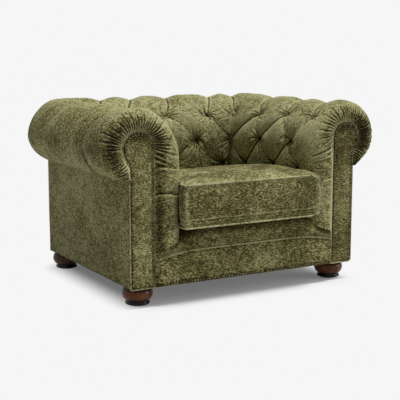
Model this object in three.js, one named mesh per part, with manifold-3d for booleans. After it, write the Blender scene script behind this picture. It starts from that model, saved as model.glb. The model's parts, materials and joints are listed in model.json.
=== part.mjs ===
// A deep-buttoned chesterfield armchair: arms and back rolled over at one height, a loose
// seat cushion, gathered arm fronts round flat keyhole facings, and four turned bun feet.
// Millimetres, +Z up. The sitter faces -Y. The origin is on the floor under the middle.
import * as THREE from "three";
import Module from "manifold-3d";
import { mergeVertices } from "three/addons/utils/BufferGeometryUtils.js";

// Driving dimensions of the whole chair.
const chairWidth = 1216; // over the two arm rolls
const chairDepth = 950; // front of the seat cushion to the back roll
const chairHeight = 732; // floor to the top of the rolls
const baseBottom = 73; // floor to the underside of the frame and its cover
const cushionOverhang = 78; // seat cushion front ahead of the arm facings
const armRollOverhang = 108; // arm roll outside the outside arm panel
const armThickness = 212; // crest of the inside arm to the outside arm panel
const backRollOverhang = 72; // back roll behind the outside back panel
const backThickness = 185; // crest of the inside back to the outside back panel
const gap = 0.3; // left between pieces that touch

// Arm facings, and the roll that is built round them.
const facingWidth = 100;
const facingThickness = 6;
const scrollRadius = 63; // round head of a facing
const scrollHeight = 585; // floor to the middle of that head
const neckFillet = 24;
const underRollDrop = 118; // from there to where the roll comes back to the outside panel
const rollSpringDrop = 45; // from there to where the inside face starts to curve over
const padClearance = 1; // between a pad and the frame it is pulled over
const padBottom = 246; // lower edge of the inside arm and back pads

// Deep buttoning: three rows of buttons drawn in hard, with folds of cloth between them.
const rowCHeight = 445;
const rowBHeight = 548;
const rowATurnShare = 0.49; // of the quarter turn over the inside of the roll
const drawInAtRowA = 40;
const drawInAtRowB = 60;
const drawInAtRowC = 50;
const buttonReach = 50;
const foldDrawIn = 22;
const foldReach = 26;
const pleatDrawIn = 10;
const pleatReach = 24;
const pleatTailShare = 0.5; // of the outside of the roll
const armRowAShares = [0.753, 0.426, 0.128]; // of the seat depth, from the facing
const armRowBShares = [0.7, 0.356];
const armRowCShares = [0.894, 0.527, 0.224];
const backRowAShares = [-0.677, 0, 0.677]; // of half the seat width, from the middle
const backRowBShares = [-0.486, 0.486];
const backRowCShares = [-0.868, 0, 0.868];

// Gathered arm fronts.
const gatherSetback = 36; // where the roll starts to turn in, behind the facing
const gatherProud = 20; // crest of the gathers ahead of the facing
const gatherCrestShare = 0.42; // of the way from the facing out to the roll
const gatherEdgeShare = 0.03;

// Outside panels, front border and padded front lip.
const outsideArmThickness = 5;
const outsideBackThickness = 18;
const borderProud = 12.5; // border face ahead of the arm facings
const borderEndWidth = 14; // where the border turns back to the facing
const borderSeamHeight = 200;
const borderSeamDrop = 20; // the seam falls towards both ends
const borderSeamFlatShare = 0.6;
const lipTop = 277;
const lipBackDepth = 62; // back over the front rail
const lipRound = 30;
const lipShoulder = 4; // width of the step down beside each arm

// Timber frame.
const railTop = 235;
const railThickness = 25;
const boardThickness = 22;
const postWidth = 79;
const postDepth = 40;
const postRise = 15; // above the middle of the scroll
const postSetback = 68; // front of a back post to the outside back
const outerRailHeight = 40;
const outerRailDrop = 2; // below the roll's lower edge
const rollRailWidth = 48;
const backRollRailDepth = 40;
const rollRailHeight = 25;
const tackRailHeight = 45;
const cornerBlockLeg = 138;
const cornerBlockHeight = 50;

// Springs and deck.
const springCount = 5;
const springWire = 4;
const springSpread = 118; // middle to middle
const springSway = 24;
const springWaves = 6;
const springBearing = 18; // wire lying on each rail
const deckTop = 287;
const deckSideGap = 1;

// Seat cushion.
const cushionSideGap = 2.5;
const cushionBackGap = 4;
const cushionLowerWelt = 320;
const cushionUpperWelt = 452;
const cushionCrown = 478;
const cushionBulge = 5; // middle of the border ahead of its welts
const cushionTuckUnder = 24;
const cushionCornerRadius = 42;
const cushionFlare = 14; // ears that spread past the arm fronts
const cushionFlareStart = 20; // behind the facing
const cushionFlareEnd = 20; // ahead of the facing

// Feet.
const footSideInset = 60; // foot middle to the outside arm panel
const footFrontInset = 68; // foot middle to the arm facing
const footBackInset = 42; // foot middle to the outside back
const footBulbRadius = 58;
const footBulbHeight = 46;
const footNeckRadius = 44;
const footNeckHeight = 18;
const footRingRadius = 46;
const footRingHeight = 9;
const footTopRadius = 34;
const glideRadius = 32;
const glideThickness = 3;
const studRadius = 4;
const studLength = 66;
const studInFoot = 24;

// Dust cover under the seat.
const dustCoverThickness = 2;
const dustCoverInset = 20;
const dustCoverCutCorner = 178;

// Places that follow from the sizes above.
const baseWidth = chairWidth - 2 * armRollOverhang;
const seatWidth = baseWidth - 2 * armThickness;
const baseDepth = chairDepth - cushionOverhang - backRollOverhang;
const seatDepth = baseDepth - backThickness;
const underRollHeight = scrollHeight - underRollDrop;
const rollSpringHeight = scrollHeight - rollSpringDrop;
const postTop = scrollHeight + postRise;
const facingY = -chairDepth / 2 + cushionOverhang;
const facingBackY = facingY + facingThickness;
const outsideBackY = facingY + baseDepth;
const backCrestY = facingY + seatDepth;
const armInnerX = baseWidth / 2 - facingWidth;
const armAxisX = armInnerX + scrollRadius;
const rollIn = armAxisX - seatWidth / 2;
const rollOut = chairWidth / 2 - armAxisX;
const rollUp = chairHeight - scrollHeight;
const innerRollUp = chairHeight - rollSpringHeight;
const panelOut = baseWidth / 2 - armAxisX;
const neckTurn = Math.acos(panelOut / scrollRadius);
const neckHeight = scrollHeight - scrollRadius * Math.sin(neckTurn);
const rollDown = (scrollHeight - underRollHeight) / Math.sqrt(1 - (panelOut / rollOut) ** 2);
const backScale = (backThickness + backRollOverhang) / (rollIn + rollOut);
const backAxisY = backCrestY + rollIn * backScale;
const boardInset = outsideArmThickness + gap;
const frameOuterX = baseWidth / 2 - boardInset;
const frameInnerX = armInnerX + boardInset;
const boardFrontY = facingBackY + gap;
const boardBackY = boardFrontY + boardThickness;
const frameBackY = outsideBackY - outsideBackThickness - gap;
const postFrontY = outsideBackY - postSetback;
const springLowZ = railTop + gap;
const deckBottom = springLowZ + springWire + gap;

const wasm = await Module();
wasm.setup();

const chenille = { color: 0x6f6f3c, roughness: 0.95, metalness: 0 };
const beech = { color: 0xc9a778, roughness: 0.7, metalness: 0 };
const mahogany = { color: 0x4a1f12, roughness: 0.25, metalness: 0 };
const steel = { color: 0x8d8f92, roughness: 0.35, metalness: 1 };
const felt = { color: 0x2b2a28, roughness: 1, metalness: 0 };
const hessian = { color: 0x9a8a66, roughness: 1, metalness: 0 };

const chair = new THREE.Group();
const point = (x, y, z) => new THREE.Vector3(x, y, z);
const lerp = THREE.MathUtils.lerp;
const steps = (count) => Array.from({ length: count + 1 }, (_, i) => i / count);

function addPiece(name, geometry, finish) {
  const piece = new THREE.Mesh(geometry, new THREE.MeshStandardMaterial(finish));
  piece.name = name;
  chair.add(piece);
  return piece;
}

// A block given by its lowest and highest corners.
function addBlock(name, low, high, finish) {
  const size = high.map((value, axis) => value - low[axis]);
  const block = addPiece(name, new THREE.BoxGeometry(...size), finish);
  block.position.set(...low.map((value, axis) => value + size[axis] / 2));
  return block;
}

// A closed mesh from points and triangles, turned so that its faces point out.
function closedSolid(points, faces) {
  let volume = 0;
  for (let f = 0; f < faces.length; f += 3) {
    const [a, b, c] = [points[faces[f]], points[faces[f + 1]], points[faces[f + 2]]];
    volume += a.dot(b.clone().cross(c));
  }
  const geometry = new THREE.BufferGeometry();
  const flat = points.flatMap((p) => p.toArray());
  geometry.setAttribute("position", new THREE.Float32BufferAttribute(flat, 3));
  geometry.setIndex(volume < 0 ? faces.toReversed() : faces);
  return geometry;
}

// Triangles that close a flat ring of points, wound the way the ring runs.
function capRing(ring) {
  const normal = point(0, 0, 0);
  ring.forEach((p, i) => normal.add(p.clone().cross(ring[(i + 1) % ring.length])));
  const size = normal.toArray().map(Math.abs);
  const dropped = size.indexOf(Math.max(...size));
  const [u, v] = [0, 1, 2].filter((axis) => axis !== dropped);
  const contour = ring.map((p) => new THREE.Vector2(p.getComponent(u), p.getComponent(v)));
  const turn = Math.sign(THREE.ShapeUtils.area(contour));
  return THREE.ShapeUtils.triangulateShape(contour, []).map(([a, b, c]) => {
    const corners = [contour[a], contour[b], contour[c]];
    return Math.sign(THREE.ShapeUtils.area(corners)) === turn ? [a, b, c] : [a, c, b];
  });
}

// The triangles of a skin over rings of equal count, open at both ends.
function skinFaces(rings) {
  const count = rings[0].length;
  const faces = [];
  for (let r = 0; r < rings.length - 1; r++) {
    for (let i = 0; i < count; i++) {
      const j = (i + 1) % count;
      const [a, b] = [r * count + i, r * count + j];
      faces.push(a, b, b + count, a, b + count, a + count);
    }
  }
  return faces;
}

// A skin over rings, closed by a flat cap at each end.
function loft(rings) {
  const faces = skinFaces(rings);
  const last = (rings.length - 1) * rings[0].length;
  capRing(rings[0]).forEach(([a, b, c]) => faces.push(a, c, b));
  capRing(rings.at(-1)).forEach(([a, b, c]) => faces.push(last + a, last + b, last + c));
  return closedSolid(rings.flat(), faces);
}

// A skin over rings, closed at each end by a fan round the middle of the ring.
function cushionSkin(rings) {
  const faces = skinFaces(rings);
  const points = rings.flat();
  const count = rings[0].length;
  const last = points.length - count;
  const hubs = [points.length, points.length + 1];
  const middle = (ring) => ring.reduce((sum, p) => sum.add(p), point(0, 0, 0)).divideScalar(count);
  points.push(middle(rings[0]), middle(rings.at(-1)));
  for (let i = 0; i < count; i++) {
    const j = (i + 1) % count;
    faces.push(hubs[0], j, i, hubs[1], last + i, last + j);
  }
  return closedSolid(points, faces);
}

// A padded skin: outer rings over fewer inner rings, which stand at the numbered outer ones.
function paddedShell(outer, inner, stations) {
  const width = outer[0].length;
  const edge = width - 1;
  const faces = [];
  const o = (ring, i) => ring * width + i;
  const n = (ring, i) => (outer.length + ring) * width + i;
  const quad = (a, b, c, d) => faces.push(a, b, c, a, c, d);
  const [endOuter, endInner] = [outer.length - 1, inner.length - 1];
  for (let i = 0; i < edge; i++) {
    for (let r = 0; r < endOuter; r++) {
      quad(o(r, i), o(r, i + 1), o(r + 1, i + 1), o(r + 1, i));
    }
    for (let r = 0; r < endInner; r++) {
      quad(n(r, i + 1), n(r, i), n(r + 1, i), n(r + 1, i + 1));
    }
    quad(o(0, i + 1), o(0, i), n(0, i), n(0, i + 1));
    quad(o(endOuter, i), o(endOuter, i + 1), n(endInner, i + 1), n(endInner, i));
  }
  for (let m = 0; m < endInner; m++) {
    for (let r = stations[m]; r < stations[m + 1]; r++) {
      faces.push(o(r, 0), o(r + 1, 0), n(m, 0));
      faces.push(o(r + 1, edge), o(r, edge), n(m, edge));
    }
    faces.push(o(stations[m + 1], 0), n(m + 1, 0), n(m, 0));
    faces.push(n(m, edge), n(m + 1, edge), o(stations[m + 1], edge));
  }
  return closedSolid([...outer.flat(), ...inner.flat()], faces);
}

function toManifold(geometry) {
  const bare = geometry.clone();
  bare.deleteAttribute("normal");
  bare.deleteAttribute("uv");
  const merged = mergeVertices(bare);
  const vertProperties = Float32Array.from(merged.attributes.position.array);
  const triVerts = Uint32Array.from(merged.index.array);
  return new wasm.Manifold(new wasm.Mesh({ numProp: 3, vertProperties, triVerts }));
}

function cut(geometry, tool) {
  const mesh = toManifold(geometry).subtract(toManifold(tool)).getMesh();
  const result = new THREE.BufferGeometry();
  result.setAttribute("position", new THREE.BufferAttribute(mesh.vertProperties, 3));
  result.setIndex([...mesh.triVerts]);
  return result;
}

// Roll section, shared by the arms and the back: up the inside face, over the roll and round
// to the outside panel. out runs from the roll's middle line, along is the length of cloth
// from the pad's lower edge, and normalOut and normalUp point off the pad.
const faceSegments = 10;
const innerSegments = 10;
const outerSegments = 6;
const underSegments = 4;
const topIndex = faceSegments + innerSegments;
const underTurn = Math.acos(panelOut / rollOut);

function rollPoint(turn, middleUp, reachOut, reachUp) {
  const normal = new THREE.Vector2(Math.cos(turn) / reachOut, Math.sin(turn) / reachUp);
  normal.normalize();
  return {
    out: reachOut * Math.cos(turn),
    up: middleUp + reachUp * Math.sin(turn),
    normalOut: normal.x,
    normalUp: normal.y,
  };
}

function rollSection() {
  const quarter = Math.PI / 2;
  const face = steps(faceSegments).map((t) => ({
    out: -rollIn,
    up: lerp(padBottom, rollSpringHeight, t),
    normalOut: -1,
    normalUp: 0,
  }));
  const inner = steps(innerSegments).slice(1).map((t) =>
    rollPoint(Math.PI - t * quarter, rollSpringHeight, rollIn, innerRollUp),
  );
  const outer = steps(outerSegments).slice(1).map((t) =>
    rollPoint((1 - t) * quarter, scrollHeight, rollOut, rollUp),
  );
  const under = steps(underSegments).slice(1).map((t) =>
    rollPoint(-t * underTurn, scrollHeight, rollOut, rollDown),
  );
  const points = [...face, ...inner, ...outer, ...under];
  let along = 0;
  points.forEach((p, i) => {
    const before = points[Math.max(i - 1, 0)];
    along += Math.hypot(p.out - before.out, p.up - before.up);
    p.along = along;
  });
  return points;
}

// Frame space inside a pad, point for point beside the roll section.
function frameSpace() {
  const radius = scrollRadius + padClearance;
  const quarter = Math.PI / 2;
  const joinTurn = neckTurn - neckFillet / scrollRadius;
  const head = (turn) => ({
    out: radius * Math.cos(turn),
    up: scrollHeight + radius * Math.sin(turn),
  });
  const face = steps(faceSegments).map((t) => ({
    out: -radius,
    up: lerp(padBottom, scrollHeight, t),
  }));
  const inner = steps(innerSegments).slice(1).map((t) => head(Math.PI - t * quarter));
  const outer = steps(outerSegments).slice(1).map((t) => head((1 - t) * quarter));
  const under = steps(underSegments - 2).slice(1).map((t) => head(-t * joinTurn));
  const neck = { out: panelOut + padClearance, up: neckHeight - neckFillet };
  const lowest = { out: panelOut + gap, up: underRollHeight + neckFillet / 2 };
  return [...face, ...inner, ...outer, ...under, neck, lowest];
}

const section = rollSection();
const space = frameSpace();
const topAlong = section[topIndex].along;
const tailAlong = lerp(topAlong, section[topIndex + outerSegments].along, pleatTailShare);

function alongAtHeight(height) {
  return height - padBottom;
}

// Rows run from the pad's own start to its end. A row that begins or ends in a corner of the
// seat has a button on the mitre there, named by the word corner.
const rowAIndex = faceSegments + Math.round(rowATurnShare * innerSegments);
const rowAlong = {
  A: section[rowAIndex].along,
  B: alongAtHeight(rowBHeight),
  C: alongAtHeight(rowCHeight),
};
const rowDrawIn = { A: drawInAtRowA, B: drawInAtRowB, C: drawInAtRowC };

// Buttons and folds of one pad. Each row is a list of places along the pad.
function buttoning(rowA, rowB, rowC) {
  const at = (row) => (place) => ({ place, along: rowAlong[row], depth: rowDrawIn[row] });
  const [a, b, c] = [rowA.map(at("A")), rowB.map(at("B")), rowC.map(at("C"))];
  const folds = [];
  a.slice(1).forEach((upper, i) => {
    folds.push([upper, b[i], foldDrawIn, foldReach]);
    folds.push([upper, b[i + 1], foldDrawIn, foldReach]);
  });
  c.forEach((lower, i) => {
    folds.push([lower, b[i], foldDrawIn, foldReach]);
    folds.push([lower, b[i + 1], foldDrawIn, foldReach]);
    folds.push([lower, { place: lower.place, along: 0 }, pleatDrawIn, pleatReach]);
  });
  a.forEach((upper) => {
    folds.push([upper, { place: upper.place, along: tailAlong }, pleatDrawIn, pleatReach]);
  });
  return { buttons: [...a, ...b, ...c], folds: folds.filter(([, end]) => end) };
}

function distanceToFold(place, along, start, end) {
  const [u, v] = [end.place - start.place, end.along - start.along];
  const share = ((place - start.place) * u + (along - start.along) * v) / (u * u + v * v);
  const near = THREE.MathUtils.clamp(share, 0, 1);
  return Math.hypot(place - start.place - near * u, along - start.along - near * v);
}

// How far the cloth is drawn in at a place along the pad. The corner fold lies on the mitre.
function drawIn(net, place, along, toMitre) {
  const pull = (depth, distance, reach) => (depth * Math.exp(-((distance / reach) ** 1.5))) ** 3;
  let sum = 0;
  for (const button of net.buttons) {
    const distance = Math.hypot(place - button.place, along - button.along);
    sum += pull(button.depth, distance, buttonReach);
  }
  for (const [start, end, depth, reach] of net.folds) {
    sum += pull(depth, distanceToFold(place, along, start, end), reach);
  }
  if (along < tailAlong) {
    sum += pull(foldDrawIn, toMitre, foldReach);
  }
  return Math.cbrt(sum);
}

function drawnPoint(p, depth) {
  return { out: p.out - p.normalOut * depth, up: p.up - p.normalUp * depth };
}

// The corner between arm and back: mitred inside the roll's middle line, rounded outside it.
// reach is the length left over before the middle of the corner.
const cornerZone = 70;
const cornerSegments = 4;

function cornerPath(out, share, end) {
  const bend = (Math.PI / 4) * Math.max(out, 0);
  const travelled = share * (cornerZone + bend - end);
  const straight = Math.min(travelled, cornerZone);
  const turn = out > 0 ? (travelled - straight) / out : 0;
  return { short: cornerZone - straight, turn };
}

const armMitreY = (out) => backAxisY + Math.min(out, 0) * backScale;
const backMitreX = (out) => armAxisX + Math.min(out, 0);

function armCornerPoint(side, p, share) {
  const { short, turn } = cornerPath(p.out, share, gap);
  const swing = Math.max(p.out, 0);
  const x = armAxisX + Math.min(p.out, 0) + swing * Math.cos(turn);
  const y = armMitreY(p.out) - short + swing * backScale * Math.sin(turn);
  return point(side * x, y, p.up);
}

function backCornerPoint(side, p, share) {
  const { short, turn } = cornerPath(p.out, share, gap);
  const swing = Math.max(p.out, 0);
  const x = backMitreX(p.out) - short + swing * Math.sin(turn);
  const y = backAxisY + backScale * (Math.min(p.out, 0) + swing * Math.cos(turn));
  return point(side * x, y, p.up);
}

// Inside arm pads with their gathered fronts.
const gatherSegments = 6;
const armSegments = 20;

function gatherRing(side, net, share) {
  const quarter = Math.PI / 2;
  const rising = Math.min(share / gatherCrestShare, 1) * quarter;
  const falling = Math.max((share - gatherCrestShare) / (1 - gatherCrestShare), 0) * quarter;
  const crest = gatherCrestShare * (1 - Math.cos(rising));
  const blend = gatherEdgeShare + (crest + (1 - gatherCrestShare) * Math.sin(falling)) * (1 - gatherEdgeShare);
  const back = (gatherProud + gatherSetback) * (1 - Math.cos(falling));
  const y = facingY - gatherProud * Math.sin(rising) + back;
  return section.map((p, i) => {
    const toMitre = armMitreY(p.out) - y;
    const depth = drawIn(net, y - facingY, p.along, toMitre) * blend ** 2;
    const drawn = drawnPoint(p, depth);
    const out = lerp(space[i].out, drawn.out, blend);
    return point(side * (armAxisX + out), y, lerp(space[i].up, drawn.up, blend));
  });
}

function armRings(side) {
  const places = (shares) => shares.map((share) => share * seatDepth);
  const cornerPlace = (index) => armMitreY(section[index].out) - facingY;
  const net = buttoning(
    [cornerPlace(rowAIndex), ...places(armRowAShares)],
    [cornerPlace(0), ...places(armRowBShares)],
    places(armRowCShares),
  );
  const gathers = steps(gatherSegments).slice(0, -1).map((share) => gatherRing(side, net, share));
  const startY = facingY + gatherSetback;
  const straight = steps(armSegments).slice(0, -1).map((share) =>
    section.map((p) => {
      const restY = lerp(startY, armMitreY(p.out) - cornerZone, share);
      const depth = drawIn(net, restY - facingY, p.along, armMitreY(p.out) - restY);
      const drawn = drawnPoint(p, depth);
      const y = lerp(startY, armMitreY(drawn.out) - cornerZone, share);
      return point(side * (armAxisX + drawn.out), y, drawn.up);
    }),
  );
  const corner = steps(cornerSegments).map((share) =>
    section.map((p) => {
      const { short } = cornerPath(p.out, share, gap);
      const restY = armMitreY(p.out) - short;
      const drawn = drawnPoint(p, drawIn(net, restY - facingY, p.along, short));
      return armCornerPoint(side, drawn, share);
    }),
  );
  return [...gathers, ...straight, ...corner];
}

function addArmPad(name, side) {
  const outer = armRings(side);
  const front = space.map((p) => point(side * (armAxisX + p.out), facingY, p.up));
  const bend = space.map((p) => armCornerPoint(side, p, 0));
  const mitre = space.map((p) => armCornerPoint(side, p, 1));
  const stations = [0, outer.length - 1 - cornerSegments, outer.length - 1];
  addPiece(name, paddedShell(outer, [front, bend, mitre], stations), chenille);
}

// Inside back pad, from mitre to mitre.
const backSegments = 22;

function addBackPad(name) {
  const places = (shares) => shares.map((share) => (share * seatWidth) / 2);
  const cornerPlace = (index) => backMitreX(section[index].out);
  const withCorners = (shares, index) => [-cornerPlace(index), ...places(shares), cornerPlace(index)];
  const net = buttoning(
    withCorners(backRowAShares, rowAIndex),
    withCorners(backRowBShares, 0),
    places(backRowCShares),
  );
  const corner = (side) => steps(cornerSegments).map((share) =>
    section.map((p) => {
      const { short } = cornerPath(p.out, share, gap);
      const place = side * (backMitreX(p.out) - short);
      return backCornerPoint(side, drawnPoint(p, drawIn(net, place, p.along, short)), share);
    }),
  );
  const straight = steps(backSegments).slice(1, -1).map((share) =>
    section.map((p) => {
      const half = backMitreX(p.out) - cornerZone;
      const restX = lerp(-half, half, share);
      const depth = drawIn(net, restX, p.along, backMitreX(p.out) - Math.abs(restX));
      const drawn = drawnPoint(p, depth);
      const drawnHalf = backMitreX(drawn.out) - cornerZone;
      return point(lerp(-drawnHalf, drawnHalf, share), backAxisY + backScale * drawn.out, drawn.up);
    }),
  );
  const outer = [...corner(-1).toReversed(), ...straight, ...corner(1)];
  const inner = [[-1, 1], [-1, 0], [1, 0], [1, 1]].map(([side, share]) =>
    space.map((p) => backCornerPoint(side, p, share)),
  );
  const last = outer.length - 1;
  const stations = [0, cornerSegments, last - cornerSegments, last];
  addPiece(name, paddedShell(outer, inner, stations), chenille);
}

addArmPad("left_inside_arm_pad", -1);
addArmPad("right_inside_arm_pad", 1);
addBackPad("inside_back_pad");

// Keyhole outline of an arm facing, seen from the front, drawn in by an inset all round.
function keyholeShape(side, inset) {
  const radius = scrollRadius - inset;
  const inner = armInnerX + inset;
  const outer = baseWidth / 2 - inset;
  const insetTurn = Math.acos((outer - armAxisX) / radius);
  const insetNeck = scrollHeight - radius * Math.sin(insetTurn);
  const shape = new THREE.Shape();
  shape.moveTo(inner, baseBottom + inset);
  shape.lineTo(outer, baseBottom + inset);
  shape.lineTo(outer, insetNeck - neckFillet);
  const joinTurn = insetTurn - neckFillet / radius;
  const joinX = armAxisX + radius * Math.cos(joinTurn);
  const joinZ = scrollHeight - radius * Math.sin(joinTurn);
  shape.quadraticCurveTo(outer, insetNeck, joinX, joinZ);
  shape.absarc(armAxisX, scrollHeight, radius, -joinTurn, Math.PI, false);
  return shape;
}

function addKeyhole(name, side, inset, frontY, thickness, finish) {
  const options = { depth: thickness, bevelEnabled: false, curveSegments: 14 };
  const geometry = new THREE.ExtrudeGeometry(keyholeShape(side, inset), options);
  geometry.rotateX(Math.PI / 2);
  geometry.translate(0, frontY + thickness, 0);
  if (side < 0) {
    geometry.rotateZ(Math.PI);
    geometry.translate(0, 2 * frontY + thickness, 0);
  }
  addPiece(name, geometry, finish);
}

// Pieces that come in a left and a right copy.
for (const [word, side] of [["left", -1], ["right", 1]]) {
  const span = (low, high) => (side > 0 ? [low, high] : [-high, -low]);
  const addSideBlock = (name, x, y, z, finish) => {
    const [lowX, highX] = span(...x);
    addBlock(`${word}_${name}`, [lowX, y[0], z[0]], [highX, y[1], z[1]], finish);
  };

  addKeyhole(`${word}_arm_facing`, side, 0, facingY, facingThickness, chenille);
  addKeyhole(`${word}_scroll_board`, side, boardInset, boardFrontY, boardThickness, beech);

  // Outside arm panel, from the facing to the back edge.
  const panelX = [baseWidth / 2 - outsideArmThickness, baseWidth / 2];
  const panelZ = [baseBottom, underRollHeight - gap];
  addSideBlock("outside_arm_panel", panelX, [facingBackY + gap, outsideBackY], panelZ, chenille);

  // Back post, bored for the foot's stud.
  const footX = side * (baseWidth / 2 - footSideInset);
  const backFootY = outsideBackY - footBackInset;
  const frontFootY = facingY + footFrontInset;
  const [postLowX, postHighX] = span(frameInnerX, frameInnerX + postWidth);
  const post = new THREE.BoxGeometry(postWidth, postDepth, postTop - baseBottom);
  post.translate((postLowX + postHighX) / 2, postFrontY + postDepth / 2, (postTop + baseBottom) / 2);
  const boreDepth = studLength - studInFoot + 2 * gap;
  const bore = new THREE.CylinderGeometry(studRadius + gap, studRadius + gap, 2 * boreDepth, 16);
  bore.rotateX(Math.PI / 2);
  bore.translate(footX, backFootY, baseBottom);
  addPiece(`${word}_back_post`, cut(post, bore), beech);

  // Rails that run from the scroll board to the back post.
  const railY = [boardBackY + gap, postFrontY - gap];
  const outerX = [frameOuterX - railThickness, frameOuterX];
  const innerX = [frameInnerX, frameInnerX + railThickness];
  const rollX = [armAxisX - rollRailWidth / 2, armAxisX + rollRailWidth / 2];
  const outerRailTop = underRollHeight - outerRailDrop;
  addSideBlock("seat_rail", outerX, railY, [baseBottom, railTop], beech);
  addSideBlock("arm_outer_rail", outerX, railY, [outerRailTop - outerRailHeight, outerRailTop], beech);
  addSideBlock("arm_tack_rail", innerX, railY, [padBottom, padBottom + tackRailHeight], beech);
  addSideBlock("arm_roll_rail", rollX, railY, [postTop - rollRailHeight, postTop], beech);

  // Front corner block, glued behind the front rail and bored for the foot's stud.
  const blockX = frameOuterX - railThickness - gap;
  const blockY = boardFrontY + railThickness + gap;
  const block = new THREE.Shape();
  block.moveTo(side * blockX, blockY);
  block.lineTo(side * (blockX - cornerBlockLeg), blockY);
  block.lineTo(side * blockX, blockY + cornerBlockLeg);
  const blockBore = new THREE.Path();
  blockBore.absarc(footX, frontFootY, studRadius + gap, 0, 2 * Math.PI);
  block.holes.push(blockBore);
  const blockOptions = { depth: cornerBlockHeight, bevelEnabled: false, curveSegments: 8 };
  const blockGeometry = new THREE.ExtrudeGeometry(block, blockOptions);
  addPiece(`${word}_front_corner_block`, blockGeometry, beech).position.z = baseBottom;

  // Turned feet, their studs and glides.
  addFoot(`${word}_front`, footX, frontFootY);
  addFoot(`${word}_back`, footX, backFootY);
}

function footProfile() {
  const top = baseBottom - gap;
  const bottom = glideThickness + gap;
  const bore = studRadius + gap;
  const boreBottom = top - studInFoot - gap;
  const waist = (footBulbHeight + footNeckHeight) / 2;
  const outline = new THREE.Path();
  outline.moveTo(0, boreBottom);
  outline.lineTo(bore, boreBottom);
  outline.lineTo(bore, top);
  outline.lineTo(footTopRadius, top);
  outline.bezierCurveTo(
    footBulbRadius, top,
    footBulbRadius, lerp(footBulbHeight, top, 1 / 3),
    footBulbRadius, footBulbHeight,
  );
  outline.quadraticCurveTo(footBulbRadius, waist, footNeckRadius, footNeckHeight);
  outline.lineTo(footRingRadius, lerp(footNeckHeight, footRingHeight, 1 / 2));
  outline.lineTo(footRingRadius, footRingHeight);
  outline.lineTo(footNeckRadius, bottom);
  outline.lineTo(0, bottom);
  return outline;
}

function addFoot(name, x, y) {
  const profile = footProfile().getPoints(5);
  const foot = new THREE.LatheGeometry(profile.toReversed(), 22);
  foot.rotateX(Math.PI / 2);
  addPiece(`${name}_foot`, foot, mahogany).position.set(x, y, 0);

  const stud = new THREE.CylinderGeometry(studRadius, studRadius, studLength, 12);
  stud.rotateX(Math.PI / 2);
  const studBottom = baseBottom - gap - studInFoot;
  addPiece(`${name}_foot_stud`, stud, steel).position.set(x, y, studBottom + studLength / 2);

  const glide = new THREE.CylinderGeometry(glideRadius, glideRadius, glideThickness, 20);
  glide.rotateX(Math.PI / 2);
  addPiece(`${name}_glide`, glide, felt).position.set(x, y, glideThickness / 2);
}

// Rails across the chair.
const acrossX = frameInnerX - gap;
const addRail = (name, y, z) => addBlock(name, [-acrossX, y[0], z[0]], [acrossX, y[1], z[1]], beech);
const backRailY = [frameBackY - railThickness, frameBackY];
const backOuterRailTop = underRollHeight - outerRailDrop;
const halfRollRail = backRollRailDepth / 2;
addRail("front_seat_rail", [boardFrontY, boardFrontY + railThickness], [baseBottom, railTop]);
addRail("back_seat_rail", backRailY, [baseBottom, railTop]);
addRail("back_outer_rail", backRailY, [backOuterRailTop - outerRailHeight, backOuterRailTop]);
addRail("back_tack_rail", [postFrontY, postFrontY + railThickness], [padBottom, padBottom + tackRailHeight]);
addRail("back_roll_rail", [backAxisY - halfRollRail, backAxisY + halfRollRail], [postTop - rollRailHeight, postTop]);

// Outside back panel, between the outside arm panels.
const backPanelX = baseWidth / 2 - outsideArmThickness - gap;
addBlock(
  "outside_back_panel",
  [-backPanelX, outsideBackY - outsideBackThickness, baseBottom],
  [backPanelX, outsideBackY, underRollHeight - gap],
  chenille,
);

// Zigzag springs across the seat, one unbroken wire each, laid on both seat rails.
function addSpring(name, middleX) {
  const startY = boardFrontY + railThickness - springBearing;
  const endY = frameBackY - railThickness + springBearing;
  const z = springLowZ + springWire / 2;
  const path = steps(springWaves * 8).map((t) =>
    point(middleX + springSway * Math.sin(2 * Math.PI * springWaves * t), lerp(startY, endY, t), z),
  );
  const rings = path.map((p, i) => {
    const ahead = path[Math.min(i + 1, path.length - 1)].clone().sub(path[Math.max(i - 1, 0)]);
    const across = point(ahead.y, -ahead.x, 0).normalize();
    return [0, 1, 2, 3].map((corner) => {
      const turn = (corner * Math.PI) / 2;
      const offset = across.clone().multiplyScalar((Math.cos(turn) * springWire) / 2);
      return p.clone().add(offset).add(point(0, 0, (Math.sin(turn) * springWire) / 2));
    });
  });
  addPiece(name, loft(rings), steel);
}

for (let i = 0; i < springCount; i++) {
  addSpring(`seat_spring_${i + 1}`, (i - (springCount - 1) / 2) * springSpread);
}

// Padded deck over the springs.
const deckX = seatWidth / 2 - deckSideGap;
const lipBackY = facingY + lipBackDepth;
addBlock("seat_deck", [-deckX, lipBackY + gap, deckBottom], [deckX, backCrestY - deckSideGap, deckTop], hessian);

// Front border and the padded lip above it. Both turn back to the facings at their ends.
const borderX = armInnerX - borderEndWidth;
const borderEndX = armInnerX - gap;
const frontProud = (x) => (Math.abs(x) > borderX ? gap : borderProud);

function seamHeight(x) {
  const beyond = Math.max(Math.abs(x) / borderX - borderSeamFlatShare, 0) / (1 - borderSeamFlatShare);
  return borderSeamHeight - borderSeamDrop * beyond ** 2;
}

function lipRing(x, top) {
  const seam = seamHeight(x) + gap / 2;
  const round = Math.min(lipRound, top - deckBottom + lipRound / 3);
  const faceY = facingY - frontProud(x);
  const nose = steps(4).map((t) => {
    const turn = (t * Math.PI) / 2;
    return point(x, faceY + round * (1 - Math.cos(turn)), top - round * (1 - Math.sin(turn)));
  });
  return [
    point(x, lipBackY, deckBottom),
    point(x, facingBackY, deckBottom),
    point(x, facingBackY, seam),
    point(x, faceY + frontProud(x) / 3, seam),
    ...nose,
    point(x, lipBackY, top),
  ];
}

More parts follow.
